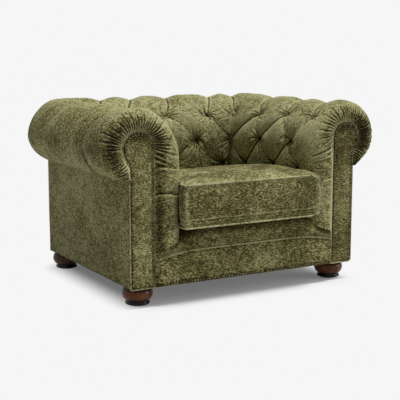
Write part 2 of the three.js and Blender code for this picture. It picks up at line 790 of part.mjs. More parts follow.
function borderRing(x) {
  const seam = seamHeight(x) - gap / 2;
  const proud = frontProud(x);
  return [
    point(x, facingBackY, baseBottom),
    point(x, facingY - proud, baseBottom),
    point(x, facingY - proud, lerp(baseBottom, seam, 1 / 2)),
    point(x, facingY - proud, seam - proud / 3),
    point(x, facingY - (2 * proud) / 3, seam),
    point(x, facingBackY, seam),
  ];
}

const lipHighX = seatWidth / 2 - gap - lipShoulder;
const lipLowX = seatWidth / 2 - gap;
const lipLowTop = padBottom - gap;
const besideArm = [borderEndX, borderX, lerp(borderX, lipLowX, 1 / 2), lipLowX];
const acrossSeat = steps(10).map((t) => lerp(-lipHighX, lipHighX, t));
const frontX = [...besideArm.map((x) => -x), ...acrossSeat, ...besideArm.toReversed()];
const lipRings = frontX.map((x) => lipRing(x, Math.abs(x) > lipHighX ? lipLowTop : lipTop));
addPiece("front_lip", loft(lipRings), chenille);
addPiece("front_border", loft(frontX.map((x) => borderRing(x))), chenille);

// Loose seat cushion: boxed, with a crowned top, full borders and ears past the arm fronts.
function cushionOutline(inset) {
  const half = seatWidth / 2 - cushionSideGap - inset;
  const front = -chairDepth / 2 + inset;
  const back = backCrestY - cushionBackGap - inset;
  const radius = Math.max(cushionCornerRadius - inset, cushionCornerRadius / 4);
  const corners = [
    [half - radius, front + radius, -Math.PI / 2],
    [half - radius, back - radius, 0],
    [radius - half, back - radius, Math.PI / 2],
    [radius - half, front + radius, Math.PI],
  ];
  const ring = corners.flatMap(([x, y, start], i) => {
    const arc = steps(4).map((t) => {
      const turn = start + (t * Math.PI) / 2;
      return [x + radius * Math.cos(turn), y + radius * Math.sin(turn)];
    });
    const [nextX, nextY, nextStart] = corners[(i + 1) % corners.length];
    const next = [nextX + radius * Math.cos(nextStart), nextY + radius * Math.sin(nextStart)];
    const side = steps(9).slice(1, -1).map((t) => arc.at(-1).map((value, axis) => lerp(value, next[axis], t)));
    return [...arc, ...side];
  });
  const flareShare = (half / (seatWidth / 2)) * cushionFlare;
  return ring.map(([x, y]) => {
    const share = 1 - THREE.MathUtils.smoothstep(y, facingY - cushionFlareEnd, facingY + cushionFlareStart);
    return [x + (x / half) * flareShare * share, y];
  });
}

function cushionRing(inset, z) {
  return cushionOutline(inset).map(([x, y]) => point(x, y, z));
}

const cushionBottom = deckTop + gap;
const crownInset = seatWidth / 2 - cushionSideGap - cushionCornerRadius;
const crownRings = steps(5).slice(1).map((t) => {
  const rise = 1 - (1 - t) ** 2;
  return cushionRing(lerp(cushionBulge, crownInset, t), lerp(cushionUpperWelt, cushionCrown, rise));
});
addPiece("seat_cushion", cushionSkin([
  cushionRing(cushionTuckUnder * 3, cushionBottom),
  cushionRing(cushionTuckUnder, cushionBottom),
  cushionRing(lerp(cushionBulge, cushionTuckUnder, 1 / 3), lerp(cushionBottom, cushionLowerWelt, 1 / 2)),
  cushionRing(cushionBulge, cushionLowerWelt),
  cushionRing(cushionBulge / 4, lerp(cushionLowerWelt, cushionUpperWelt, 1 / 4)),
  cushionRing(0, lerp(cushionLowerWelt, cushionUpperWelt, 1 / 2)),
  cushionRing(cushionBulge / 4, lerp(cushionLowerWelt, cushionUpperWelt, 3 / 4)),
  cushionRing(cushionBulge, cushionUpperWelt),
  ...crownRings,
]), chenille);

// Black dust cover stapled under the rails, its corners cut away round the feet.
const coverX = baseWidth / 2 - dustCoverInset;
const coverFrontY = facingY + dustCoverInset;
const coverBackY = outsideBackY - dustCoverInset;
const cover = new THREE.Shape();
cover.moveTo(-coverX + dustCoverCutCorner, coverFrontY);
cover.lineTo(coverX - dustCoverCutCorner, coverFrontY);
cover.lineTo(coverX, coverFrontY + dustCoverCutCorner);
cover.lineTo(coverX, coverBackY - dustCoverCutCorner);
cover.lineTo(coverX - dustCoverCutCorner, coverBackY);
cover.lineTo(-coverX + dustCoverCutCorner, coverBackY);
cover.lineTo(-coverX, coverBackY - dustCoverCutCorner);
cover.lineTo(-coverX, coverFrontY + dustCoverCutCorner);
const coverGeometry = new THREE.ExtrudeGeometry(cover, { depth: dustCoverThickness, bevelEnabled: false });
addPiece("dust_cover", coverGeometry, felt).position.z = baseBottom - gap - dustCoverThickness;

export default chair;
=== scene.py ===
# Deep-buttoned armchair: rolled arms and back at one height, gathered arm fronts round flat
# keyhole facings edged with nails, a loose boxed cushion and turned bun feet.
import json
import math

import bmesh
import bpy
import numpy as np
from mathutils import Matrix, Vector


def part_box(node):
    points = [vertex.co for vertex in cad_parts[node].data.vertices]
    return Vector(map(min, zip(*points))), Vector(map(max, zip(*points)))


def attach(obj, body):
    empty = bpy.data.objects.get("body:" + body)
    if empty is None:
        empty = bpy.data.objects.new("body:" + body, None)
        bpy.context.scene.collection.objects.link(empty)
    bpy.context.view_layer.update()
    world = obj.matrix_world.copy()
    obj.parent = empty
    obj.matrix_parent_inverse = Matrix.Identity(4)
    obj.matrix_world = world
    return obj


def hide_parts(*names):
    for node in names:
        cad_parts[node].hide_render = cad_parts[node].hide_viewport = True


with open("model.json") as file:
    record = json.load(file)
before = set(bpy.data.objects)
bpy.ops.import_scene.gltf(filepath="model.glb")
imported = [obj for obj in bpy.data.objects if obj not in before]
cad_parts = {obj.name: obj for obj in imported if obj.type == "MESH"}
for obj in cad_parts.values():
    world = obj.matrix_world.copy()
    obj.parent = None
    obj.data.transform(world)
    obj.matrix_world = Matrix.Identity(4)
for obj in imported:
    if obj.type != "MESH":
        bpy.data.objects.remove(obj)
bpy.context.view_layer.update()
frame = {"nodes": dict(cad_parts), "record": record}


# Camera: three-quarter view from the front left, a little above the seat, worked out from the
# chair's own base edges, feet and roll tops.
eye = Vector((-1.9915, -3.5085, 0.967))
aim = Vector((0.0177, 0.003, 0.3078))
camera = bpy.data.objects.new("camera", bpy.data.cameras.new("camera"))
camera.data.lens = 88.08
camera.data.sensor_width = 36
camera.location = eye
camera.rotation_euler = (aim - eye).to_track_quat("-Z", "Y").to_euler()
bpy.context.scene.collection.objects.link(camera)
bpy.context.scene.camera = camera
bpy.context.scene.view_settings.view_transform = "Standard"


# Floor and light: a pale studio floor that runs out into a backdrop of its own colour, a big
# soft lamp overhead and a weaker one from the front left.
BACKDROP = (0.92, 0.92, 0.92, 1)
PAPER_SEEN, PAPER_GLOW = (0.695, 0.69, 0.71, 1), (0.55, 0.55, 0.55, 1)
SHADOW_HALF, SHADOW_REACH, SHADOW_HAZE = (0.405, 0.35, 0), 0.155, 0.15
ROOM_LIGHT = 0.22

bpy.ops.mesh.primitive_circle_add(vertices=96, radius=9, fill_type="NGON")
floor = bpy.context.object
floor.name = "floor"


def finish_node(tree, kind, out, inputs=(), **settings):
    """Adds a node to a finish and returns its named output, or the node where out is None.
    An input is a plain value, or the output of the node that feeds it."""
    made = tree.nodes.new("ShaderNode" + kind)
    for name, value in settings.items():
        setattr(made, name, value)
    for name, value in dict(inputs).items():
        if isinstance(value, bpy.types.NodeSocket):
            tree.links.new(value, made.inputs[name])
        else:
            made.inputs[name].default_value = value
    return made.outputs[out] if out else made


def seen_directly(tree):
    """1 for rays from the camera, from a mirror or through glass, 0 for scattered light."""
    path = finish_node(tree, "LightPath", None)
    share = path.outputs["Is Camera Ray"]
    for other in ("Is Glossy Ray", "Is Transmission Ray"):
        either = {0: share, 1: path.outputs[other]}
        share = finish_node(tree, "Math", "Value", either, operation="MAXIMUM")
    return share


paper = bpy.data.materials.new("floor_paper")
paper.use_nodes = True
tree = paper.node_tree
tree.nodes.clear()
# The paper takes a shadow only close round the chair's base, as the photo's lit floor does,
# and has the backdrop's colour further out.
beyond = finish_node(tree, "TexCoord", "Object")
for operation, value in (
    ("ABSOLUTE", (0, 0, 0)), ("SUBTRACT", SHADOW_HALF), ("MAXIMUM", (0, 0, 0))
):
    pair = {0: beyond, 1: value}
    beyond = finish_node(tree, "VectorMath", "Vector", pair, operation=operation)
away = finish_node(tree, "VectorMath", "Value", {0: beyond}, operation="LENGTH")
reach = {"Value": away, "From Min": 0, "From Max": SHADOW_REACH, "To Min": SHADOW_HAZE}
fade = finish_node(tree, "MapRange", "Result", reach, interpolation_type="SMOOTHSTEP")
seen = seen_directly(tree)
tones = {"Factor": seen, "A": PAPER_GLOW, "B": PAPER_SEEN}
tone = finish_node(tree, "Mix", "Result", tones, data_type="RGBA")
lit = finish_node(tree, "BsdfDiffuse", "BSDF", {"Color": tone})
far = finish_node(tree, "Emission", "Emission", {"Color": BACKDROP})
share = finish_node(tree, "Math", "Value", {0: fade, 1: seen}, operation="MULTIPLY")
blend = finish_node(tree, "MixShader", "Shader", {"Fac": share, 1: lit, 2: far})
finish_node(tree, "OutputMaterial", None, {"Surface": blend})
floor.data.materials.append(paper)

world = bpy.data.worlds.new("studio")
bpy.context.scene.world = world
world.use_nodes = True
tree = world.node_tree
tree.nodes.clear()
room_glow = {"Color": (1, 1, 1, 1), "Strength": ROOM_LIGHT}
room = finish_node(tree, "Background", "Background", room_glow)
backdrop = finish_node(tree, "Background", "Background", {"Color": BACKDROP, "Strength": 1})
sides = {"Fac": seen_directly(tree), 1: room, 2: backdrop}
blend = finish_node(tree, "MixShader", "Shader", sides)
finish_node(tree, "OutputWorld", None, {"Surface": blend})

for name, towards, strength, softness in (
    ("overhead_lamp", (-0.12, 0.16, -1), 2.95, 17),
    ("front_lamp", (-0.80, 0.54, -0.30), 0.95, 30),
):
    lamp = bpy.data.objects.new(name, bpy.data.lights.new(name, "SUN"))
    lamp.data.energy = strength
    lamp.data.angle = math.radians(softness)
    lamp.rotation_euler = Vector(towards).to_track_quat("-Z", "Y").to_euler()
    bpy.context.scene.collection.objects.link(lamp)


# Inside arms: one length of olive chenille each, pulled down hard by three rows of covered
# buttons over deep stuffing, carried over the roll and gathered round the arm facing.
# The folds run from button to button and were laid by hand, so no two are quite alike.
SIDES = (("left", -1), ("right", 1))
FACING_Y = -0.397
# The roll's section: its middle, how far it reaches to the inside and the outside, where it
# springs from the straight pad, its top, and the scroll board that it wraps.
ROLL_X, ROLL_Z = 0.463, 0.585
ROLL_INSIDE, ROLL_OUTSIDE = 0.175, 0.145
ROLL_SPRING, ROLL_TOP = 0.540, 0.732
PAD_BOTTOM, ROLL_BOTTOM = 0.246, 0.467
PANEL_OUT = 0.037
UNDER_TURN = math.acos(PANEL_OUT / ROLL_OUTSIDE)
UNDER_REACH = (ROLL_Z - ROLL_BOTTOM) / math.sin(UNDER_TURN)
BOARD_HEAD, BOARD_TURN = 0.064, 0.563
BOARD_NECK, BOARD_FOOT = (0.054, 0.5505), (0.0375, 0.479)


def part_way(x, start, end):
    """How far x has come from start to end, from 0 to 1."""
    return np.clip((x - start) / (end - start), 0, 1)


def eased(t):
    """The same way from 0 to 1, starting and ending gently."""
    return t * t * (3 - 2 * t)


def hump(x, middle, width):
    """A smooth hump: 1 in its middle, and next to nothing two widths away."""
    return np.exp(-(((x - middle) / width) ** 2))


def unit(vectors, least=0):
    """The same directions, each of length 1."""
    return vectors / (np.linalg.norm(vectors, axis=-1, keepdims=True) + least)


def roll_outline(w):
    """The cover's line across a roll: 0-1 up the inside, 1-2 over, 2-3 down, 3-4 under."""
    w = np.asarray(w, float)
    turn = np.select(
        [w <= 1, w <= 2, w <= 3],
        [np.pi, np.pi - (w - 1) * np.pi / 2, (3 - w) * np.pi / 2],
        -(w - 3) * UNDER_TURN,
    )
    middle = np.where(w <= 2, ROLL_SPRING, ROLL_Z)
    reach_out = np.where(w <= 2, ROLL_INSIDE, ROLL_OUTSIDE)
    reach_up = np.select(
        [w <= 2, w <= 3], [ROLL_TOP - ROLL_SPRING, ROLL_TOP - ROLL_Z], UNDER_REACH
    )
    out, up = reach_out * np.cos(turn), middle + reach_up * np.sin(turn)
    up = np.where(w <= 1, PAD_BOTTOM + w * (ROLL_SPRING - PAD_BOTTOM), up)
    return out, up, unit(np.stack([np.cos(turn) / reach_out, np.sin(turn) / reach_up], -1))


def board_outline(w):
    """The line of the scroll board inside the same roll, point for point."""
    w = np.asarray(w, float)
    turn = np.select(
        [w <= 1, w <= 3], [np.pi, np.pi - (w - 1) * np.pi / 2], -(w - 3) * 2 * BOARD_TURN
    )
    out, up = BOARD_HEAD * np.cos(turn), ROLL_Z + BOARD_HEAD * np.sin(turn)
    up = np.where(w <= 1, PAD_BOTTOM + w * (ROLL_Z - PAD_BOTTOM), up)
    (neck_out, neck_up), (foot_out, foot_up) = BOARD_NECK, BOARD_FOOT
    out = np.where(w > 3.5, neck_out + (foot_out - neck_out) * part_way(w, 3.5, 3.7), out)
    up = np.where(w > 3.5, neck_up + (foot_up - neck_up) * part_way(w, 3.5, 4), up)
    return out, up


def arc_length(x, y):
    """Way along a line of points, from its first."""
    return np.concatenate([[0], np.cumsum(np.hypot(np.diff(x), np.diff(y)))])


# p is the way up the cloth across the roll, w the place on the roll's outline there.
outline_w = np.linspace(0, 4, 4001)
outline_out, outline_up, _ = roll_outline(outline_w)
outline_p = arc_length(outline_out, outline_up)
P_TOP, P_SIDE = (float(np.interp(w, outline_w, outline_p)) for w in (2, 3))
P_END = float(outline_p[-1])
ACROSS = 400
w_line = np.interp(np.linspace(0, P_END, ACROSS), outline_p, outline_w)
p_line = np.interp(w_line, outline_w, outline_p)
roll_out, roll_up, roll_normal = roll_outline(w_line)
board_out, board_up = board_outline(w_line)

# Rows of buttons: A under the roll's crest, B in the middle, C low down. q is the way along
# the cloth. A soft fold's depth, sharpness and bow are drawn between two limits.
ROW_DEPTH = {"A": 0.024, "B": 0.029, "C": 0.028}
CORNER_BUTTONS = {"A": 0.410, "B": 0.283}
OUT_AT = {row: float(np.interp(p, outline_p, outline_out)) for row, p in CORNER_BUTTONS.items()}
START_SHARE = 0.85
SOFT_FOLD = ((0.0035, 0.05, -0.014), (0.0060, 0.25, 0.014))
LOW_FOLD = ((0.3, -0.008), (0.7, 0.008))
SHUT_DEPTH, SHUT_SHARPNESS = 0.007, 0.70
FOLD_WIDTH, LOW_FOLD_WIDTH, SIDE_FOLD_WIDTH = 0.052, 0.050, 0.022
LOW_MIDDLE, LOW_END, LOW_DRIFT = 0.012, 0.010, 0.96
OVER_SHARPNESS, OVER_BOW, OUTER_SHARPNESS, OUTER_END = 0.50, -0.006, 0.15, 0.003
SIDE_REACH, SIDE_MIDDLE, SIDE_END, SIDE_SHARPNESS, SIDE_BOW = 0.085, 0.007, 0.001, 0.9, 0.006
SLIT_WIDTH, SLIT_DEPTH = 0.0035, 0.013
LIP_AWAY, LIP_WIDTH, LIP_END, LIP_LIGHT = 0.0088, 0.0038, 0.006, 2.4
PULL_FROM, PULL_TO = 0.005, 0.012


def lay_folds(rows, leans, top_depth, top_width, shut=()):
    """Folds between the buttons of rows A, B and C, each as (start, end, depth at start,
    middle and end, width, sharpness, bow). Rows run from the corner; a button is its (q, p).
    leans says how far along each fold above row A has moved when it reaches the crest, and
    shut names the folds (row, place in it, place in row B) that are pulled hard and shut."""
    a, b, c = ([(spot, START_SHARE * ROW_DEPTH[row]) for spot in rows[row]] for row in "ABC")
    dice = np.random.RandomState(len(a) + len(b))
    folds = []
    for row, upper, first in (("A", a[1:], 1), ("C", c, 0)):
        for i, (spot, depth) in enumerate(upper):
            for j, (other, other_depth) in enumerate(b[i : i + 2], i):
                middle, sharp, bow = dice.uniform(*SOFT_FOLD)
                if (row, i + first, j) in shut:
                    middle, sharp = middle + SHUT_DEPTH, sharp + SHUT_SHARPNESS
                folds.append((spot, other, depth, middle, other_depth, FOLD_WIDTH, sharp, bow))
    for (q, p), depth in c:
        sharp, bow = dice.uniform(*LOW_FOLD)
        low, deep = (LOW_DRIFT * q, 0), (depth, LOW_MIDDLE, LOW_END)
        folds.append(((q, p), low, *deep, LOW_FOLD_WIDTH, sharp, bow))
    for ((q, p), depth), lean in zip(a, leans):
        if lean is None:
            continue
        top, tail = (q + lean, P_TOP + 0.01), (q + 1.5 * lean, P_SIDE + 0.01)
        beside = (q + 0.25 * lean - 0.004, p + SIDE_REACH)
        over = (depth, top_depth, top_depth, top_width, OVER_SHARPNESS, OVER_BOW)
        outer = (top_depth, 0.65 * top_depth, OUTER_END, top_width, OUTER_SHARPNESS, 0)
        short = (0.6 * depth, SIDE_MIDDLE, SIDE_END, SIDE_FOLD_WIDTH, SIDE_SHARPNESS, SIDE_BOW)
        folds += [((q, p), top, *over), (top, tail, *outer), ((q, p), beside, *short)]
    return folds, [(spot, ROW_DEPTH[row]) for row in "ABC" for spot in rows[row]]


def fold_depth(q, p, fold):
    """Depth of one fold at a place on the cloth, and its painted shade there: painted darker in
    the slit, painted lighter on the lips of cloth along both sides of it."""
    (q0, p0), (q1, p1), d0, middle, d1, width, sharp, bow = fold
    dq, dp = q1 - q0, p1 - p0
    length = math.hypot(dq, dp)
    t = ((q - q0) * dq + (p - p0) * dp) / length**2
    beyond = length * (t - np.clip(t, 0, 1))
    t = np.clip(t, 0, 1)
    beside = ((p - p0) * dq - (q - q0) * dp) / length - 4 * bow * t * (1 - t)
    away = np.hypot(beside, beyond)
    depth = middle + (d0 - middle) * (1 - t) ** 3 + (d1 - middle) * t**3
    near = part_way(away, width, 0)
    pulled = sharp * part_way(depth, PULL_FROM, PULL_TO)
    slit = pulled * np.exp(-((away / SLIT_WIDTH) ** 1.3))
    lip = pulled * hump(np.abs(beside), LIP_AWAY, LIP_WIDTH) * hump(beyond, 0, LIP_END)
    lip = lip * np.sin(np.pi * t) ** 0.5
    pinched = 0.6 * (1 - np.sqrt(1 - near * near)) ** 0.85 + 0.4 * near**2.2
    share = np.clip(0.15 + 1.3 * pulled, 0, 1)
    shaped = share * pinched + (1 - share) * eased(near)
    return depth * shaped + SLIT_DEPTH * slit, slit - LIP_LIGHT * lip


def waver(u, v, seed, size, count=7):
    """Slow unevenness of stuffing and cloth, from a few crossing waves; about -1 to 1."""
    dice = np.random.RandomState(seed)
    total = 0
    for _ in range(count):
        turn, phase = dice.uniform(0, 2 * np.pi, 2)
        length = size * dice.uniform(0.6, 1.6)
        step = (u * math.cos(turn) + v * math.sin(turn)) / length
        total = total + np.sin(2 * np.pi * step + phase)
    return total / math.sqrt(count)


MITRE_DEPTH, MITRE_SHALLOWER, MITRE_WIDTH, MITRE_EDGE = 0.018, 0.013, 0.060, 0.03
MITRE_PULL, MITRE_FADE = 0.055, 0.12
SLACK_REACH, SLACK_TOP, SLACK_SIDE = 0.28, 0.009, 0.006
HOLLOW_WIDTH, TUCK_DEPTH, SEAT_DEPTH, SEAT_WIDTH, UNEVENNESS = 0.055, 0.0085, 0.003, 0.014, 0.0012
INNER_RING, OUTER_RING, OUTER_SHARE = (0.022, 0.015), (0.045, 0.02), 0.4
MAIN_TUCKS, FINE_TUCKS, FINE_SHARE = 5, 8.5, 0.5
# Painted shade in folds, tucks, button seats and hollows, and a little painted light over the
# whole cover.
FOLD_DARK, TUCK_DARK, SEAT_DARK, HOLLOW_DARK, COVER_LIGHT = 0.95, 0.6, 0.9, 0.65, 0.1
MEET = 4


def mitre_depth(p):
    """Depth of the seam in the corner, where the arm's cover meets the back's."""
    high = CORNER_BUTTONS["A"]
    depth = MITRE_DEPTH - MITRE_SHALLOWER * part_way(p, high, high + 0.07)
    for row, spot in CORNER_BUTTONS.items():
        pull = np.exp(-((np.abs(p - spot) / MITRE_PULL) ** 1.4))
        depth = np.maximum(depth, ROW_DEPTH[row] * pull)
    return depth * part_way(p, P_END, P_END - MITRE_FADE) ** 0.5


def slack_corner(w, to_mitre):
    """The stuffing is thin over the outer shoulder of the corners, so the roll falls in there."""
    near = part_way(to_mitre, SLACK_REACH, 0) ** 1.4
    shoulder = SLACK_TOP * np.sin(np.pi * part_way(w, 1.9, 3.2)) ** 2
    return near * (shoulder + SLACK_SIDE * np.sin(np.pi * part_way(w, 2.1, 3.9)) ** 2)


def settled(w):
    """1 up to the crest of a roll, falling to 0 below its outer side."""
    return eased(part_way(w, 3.5, 1.9))


def draw_in(q, p, to_mitre, net, seed):
    """How far the buttons, folds and mitre draw the cover in at a place on the cloth, and how much
    painted shade it gets there, darker in folds, tucks and button hollows. Hollows meet softly, by
    the power MEET."""
    folds, buttons = net
    total, shade = np.zeros(np.broadcast(q, p).shape), 0
    for fold in folds:
        hollow, dark = fold_depth(q, p, fold)
        total = total + hollow**MEET
        shade = shade + FOLD_DARK * dark
    for (q0, p0), full in buttons:
        near = part_way(np.hypot(q - q0, p - p0), HOLLOW_WIDTH, 0)
        total = total + (full * near**1.4) ** MEET
    near = part_way(to_mitre, MITRE_WIDTH, 0)
    total = total + (mitre_depth(p) * (1 - np.sqrt(1 - near * near)) ** 0.82) ** MEET
    depth = total ** (1 / MEET)
    # Small tucks run out from each button like a star, uneven from button to button; the tucks,
    # the button's seat and its hollow are painted darker.
    for (q0, p0), _ in buttons:
        away, bearing = np.hypot(q - q0, p - p0), np.arctan2(p - p0, q - q0)
        near = hump(away, *INNER_RING) + OUTER_SHARE * hump(away, *OUTER_RING)
        turn = bearing + 0.35 * np.sin(2 * bearing + seed + 40 * q0) + 6 * away
        tucks = 1 - np.abs(np.sin(MAIN_TUCKS * turn)) ** 0.6
        tucks = tucks + FINE_SHARE * (1 - np.abs(np.sin(FINE_TUCKS * turn + q0)) ** 0.6)
        depth = depth + TUCK_DEPTH * near * (tucks - 0.35)
        depth = depth + SEAT_DEPTH * hump(away, 0, SEAT_WIDTH)
        shade = shade + TUCK_DARK * near * (tucks - 0.65)
        shade = shade + SEAT_DARK * hump(away, 0, 0.012) + HOLLOW_DARK * hump(away, 0, 0.038)
    depth = depth + UNEVENNESS * waver(q, p, seed, 0.11)
    edge = eased(part_way(to_mitre, 0, MITRE_EDGE))
    return mitre_depth(p) + (depth - mitre_depth(p)) * edge, shade - COVER_LIGHT


def outward(points, wrap=False, least=1e-12):
    """The cover's normal at each point of a grid."""
    down, across = np.gradient(points, axis=0), np.gradient(points, axis=1)
    if wrap:
        across = np.roll(points, -1, 1) - np.roll(points, 1, 1)
    return unit(np.cross(across, down), least)


def stand_out(points, wrap, reach):
    """How far each point stands out, in metres, from the points at a reach to both sides."""
    normal = outward(points, wrap)
    total = np.zeros(points.shape[:2])
    for axis in (0, 1):
        count = points.shape[axis]
        pitch = np.median(np.linalg.norm(np.diff(points, axis=axis), axis=-1))
        step = int(np.clip(round(reach / max(pitch, 1e-5)), 1, max(count // 3, 1)))
        spots = np.arange(count)
        if wrap and axis == 1:
            before, after, inside = (spots - step) % count, (spots + step) % count, spots >= 0
        else:
            before, after = np.maximum(spots - step, 0), np.minimum(spots + step, count - 1)
            inside = (spots >= step) & (spots < count - step)
        middle = (np.take(points, before, axis) + np.take(points, after, axis)) / 2
        out = ((points - middle) * normal).sum(-1)
        total += out * (inside[:, None] if axis == 0 else inside[None, :])
    return total


# Painted light and shade from the cloth's relief, fine and broad, each by its share, how far off
# it is felt and what counts as full: ridges are painted lighter, hollows darker.
RELIEF = ((0.65, 0.006, 0.0016), (0.35, 0.018, 0.007))


def cloth_mesh(name, points, weave, finish, wrap=False, painted_shade=0):
    """A smooth mesh over a grid of points. weave is each point's place on the flat cloth. crest
    carries painted light and shade: high on ridges, painted lighter, and low in folds and wherever
    painted_shade is given, painted darker."""
    crest = -np.asarray(painted_shade)
    for share, reach, full in RELIEF:
        crest = crest + share * np.clip(stand_out(points, wrap, reach) / full, -1, 1)
    rows, cols = points.shape[:2]
    number = np.arange(rows * cols).reshape(rows, cols)
    if wrap:
        number = np.concatenate([number, number[:, :1]], axis=1)
    corners = [number[:-1, :-1], number[:-1, 1:], number[1:, 1:], number[1:, :-1]]
    quads = np.stack(corners, -1).reshape(-1, 4)
    mesh = bpy.data.meshes.new(name)
    mesh.from_pydata(points.reshape(-1, 3).tolist(), [], quads.tolist())
    layer = mesh.uv_layers.new(name="weave")
    flat = weave.reshape(-1, 2)[quads.reshape(-1)]
    layer.data.foreach_set("uv", flat.astype(np.float32).ravel())
    shade_layer = mesh.attributes.new("crest", "FLOAT", "POINT")
    shade_layer.data.foreach_set("value", crest.astype(np.float32).ravel())
    mesh.polygons.foreach_set("use_smooth", [True] * len(mesh.polygons))
    mesh.materials.append(finish)
    piece = bpy.data.objects.new(name, mesh)
    bpy.context.scene.collection.objects.link(piece)
    return piece


def new_finish(name, sockets):
    """A finish with these sockets of its shader set: its material, nodes and shader."""
    finish = bpy.data.materials.new(name)
    finish.use_nodes = True
    shader = finish.node_tree.nodes["Principled BSDF"]
    for socket, value in sockets.items():
        shader.inputs[socket].default_value = value
    return finish, finish.node_tree, shader


def noise(tree, place, stretch, detail, roughness=0.5, scale=1):
    """Noise over a place, finer along an axis the more it is stretched."""
    place = finish_node(tree, "Mapping", "Vector", {"Vector": place, "Scale": stretch})
    sockets = {"Vector": place, "Scale": scale, "Detail": detail, "Roughness": roughness}
    return finish_node(tree, "TexNoise", "Fac", sockets)


def add(tree, first, second, weight):
    """The first, and the second times its weight."""
    sockets = {0: second, 1: weight, 2: first}
    return finish_node(tree, "Math", "Value", sockets, operation="MULTIPLY_ADD")


def coloured(tree, amount, *stops):
    """The colour for an amount, from stops given as (amount, colour) in their order."""
    made = finish_node(tree, "ValToRGB", None, {"Fac": amount})
    ramp = made.color_ramp.elements
    for stop, (place, colour) in ((ramp[0], stops[0]), (ramp[1], stops[-1])):
        stop.position, stop.color = place, colour
    for place, colour in stops[1:-1]:
        ramp.new(place).color = colour
    return made.outputs["Color"]


OLIVE = ((0.046, 0.036, 0.011, 1), (0.158, 0.143, 0.043, 1), (0.420, 0.404, 0.210, 1))
# A lighter copy of the chenille for the cords and welts: a painted highlight.
HIGHLIT_TONES = ((0.07, 0.06, 0.025, 1), (0.22, 0.205, 0.09, 1), (0.47, 0.45, 0.25, 1))
PILE_SHADOW = (0.008, 0.007, 0.003, 1)
DARK_YARN, MIDDLE_YARN = 0.347, 0.674
YARN_LOW, YARN_HIGH = 1.075, 1.795
PILE_BUMP, PILE_HEIGHT = 0.55, 0.0035


def chenille(name, tones):
    """Short-pile olive chenille: two yarn tones in fine broken streaks along the weft, slow
    patches where the pile leans another way, a painted sheen that lightens it where it turns away
    from view, and painted light and shade read from crest."""
    sockets = {"Roughness": 0.9, "Specular IOR Level": 0.15, "Sheen Weight": 0.12}
    sockets |= {"Sheen Roughness": 0.35, "Sheen Tint": (0.80, 0.78, 0.48, 1)}
    finish, tree, shader = new_finish(name, sockets)
    weave = finish_node(tree, "UVMap", "UV", uv_map="weave")
    solid = finish_node(tree, "TexCoord", "Object")
    streaks = noise(tree, weave, (75, 240, 1), 2, 0.6)
    nap = noise(tree, weave, (420, 700, 1), 2, 0.6)
    blotches = noise(tree, solid, (32, 32, 50), 2)
    leaning = noise(tree, solid, (7, 7, 7), 2)
    speckle = noise(tree, solid, (135, 135, 260), 1)
    crest = finish_node(tree, "Attribute", "Fac", attribute_name="crest")
    mixed = streaks
    for layer, weight in (
        (blotches, 0.45), (leaning, 0.45), (speckle, 0.98), (crest, 0.17), (nap, 0.25)
    ):
        mixed = add(tree, mixed, layer, weight)
    height = add(tree, add(tree, nap, streaks, 0.8), speckle, 0.6)
    pile = {"Strength": PILE_BUMP, "Distance": PILE_HEIGHT, "Height": height}
    pile = finish_node(tree, "Bump", "Normal", pile)
    side_on = finish_node(tree, "LayerWeight", "Facing", {"Blend": 0.5, "Normal": pile})
    painted_sheen = finish_node(tree, "Math", "Value", {0: side_on, 1: 2.5}, operation="POWER")
    mixed = add(tree, mixed, painted_sheen, 0.15)
    sockets = {"Value": mixed, "From Min": YARN_LOW, "From Max": YARN_HIGH}
    amount = finish_node(tree, "MapRange", "Result", sockets)
    stops = zip((0, DARK_YARN, MIDDLE_YARN, 1), (PILE_SHADOW, *tones))
    tree.links.new(coloured(tree, amount, *stops), shader.inputs["Base Color"])
    tree.links.new(pile, shader.inputs["Normal"])
    return finish


cover = chenille("olive_chenille", OLIVE)
highlit_chenille = chenille("chenille_painted_highlight", HIGHLIT_TONES)

BACK_AXIS_Y, BACK_SCALE, CORNER_ZONE = 0.3585, 0.803, 0.07


def mitre_place(out):
    return BACK_AXIS_Y + np.minimum(out, 0) * BACK_SCALE


def corner_travel(out, share):
    """Way left before the mitre, and the turn made round the corner of the roll."""
    bend = (np.pi / 4) * np.maximum(out, 0)
    gone = share * (CORNER_ZONE + bend)
    straight = np.minimum(gone, CORNER_ZONE)
    return CORNER_ZONE - straight, (gone - straight) / np.maximum(out, 1e-4)


def arm_points(out, up, share, start):
    """Places on an arm: share 0 to 1 is its straight length, 1 to 2 the corner."""
    short, turn = corner_travel(out, np.clip(share - 1, 0, 1))
    swing = np.maximum(out, 0)
    turn = np.where(out > 0, turn, 0)
    straight = start + (mitre_place(out) - CORNER_ZONE - start) * np.clip(share, 0, 1)
    y = np.where(share <= 1, straight, mitre_place(out) - short)
    x = ROLL_X + np.minimum(out, 0) + swing * np.cos(turn)
    return np.stack([x, y + swing * BACK_SCALE * np.sin(turn), up + 0 * x], -1)


PLEATS, PLEAT_DEPTH, PLEAT_START, PLEAT_END = 50, 0.0085, 0.78, 3.98
PLEAT_REACH, SHORT_PLEAT, PLEAT_FULLNESS = (0.075, 0.135), (0.40, 0.75), (0.65, 1.15)
VALLEY_DARK, RIDGE_LIGHT = 0.25, 3.4
ARM_TUCKS = {-1: ((0.515, 0.0075), (0.417, 0.0065)), 1: ((0.422, 0.0045),)}
TUCK_HEIGHT, TUCK_REACH, TUCK_SHADE = 0.0042, 0.125, 110
CREASE_P = (0.815, 0.850, 0.900, 0.940, 0.985)
CREASE_Y = (-0.222, -0.213, -0.205, -0.186, -0.180)
CREASE_DEPTH, CREASE_WIDTH, CREASE_DARK, RIGHT_CREASE_BACK = 0.0045, 0.022, 5.0, 0.05
RIDGE_Y, RIDGE_WIDTH, RIDGE_RISE, RIDGE_PALE = -0.022, 0.010, 0.0025, 0.6


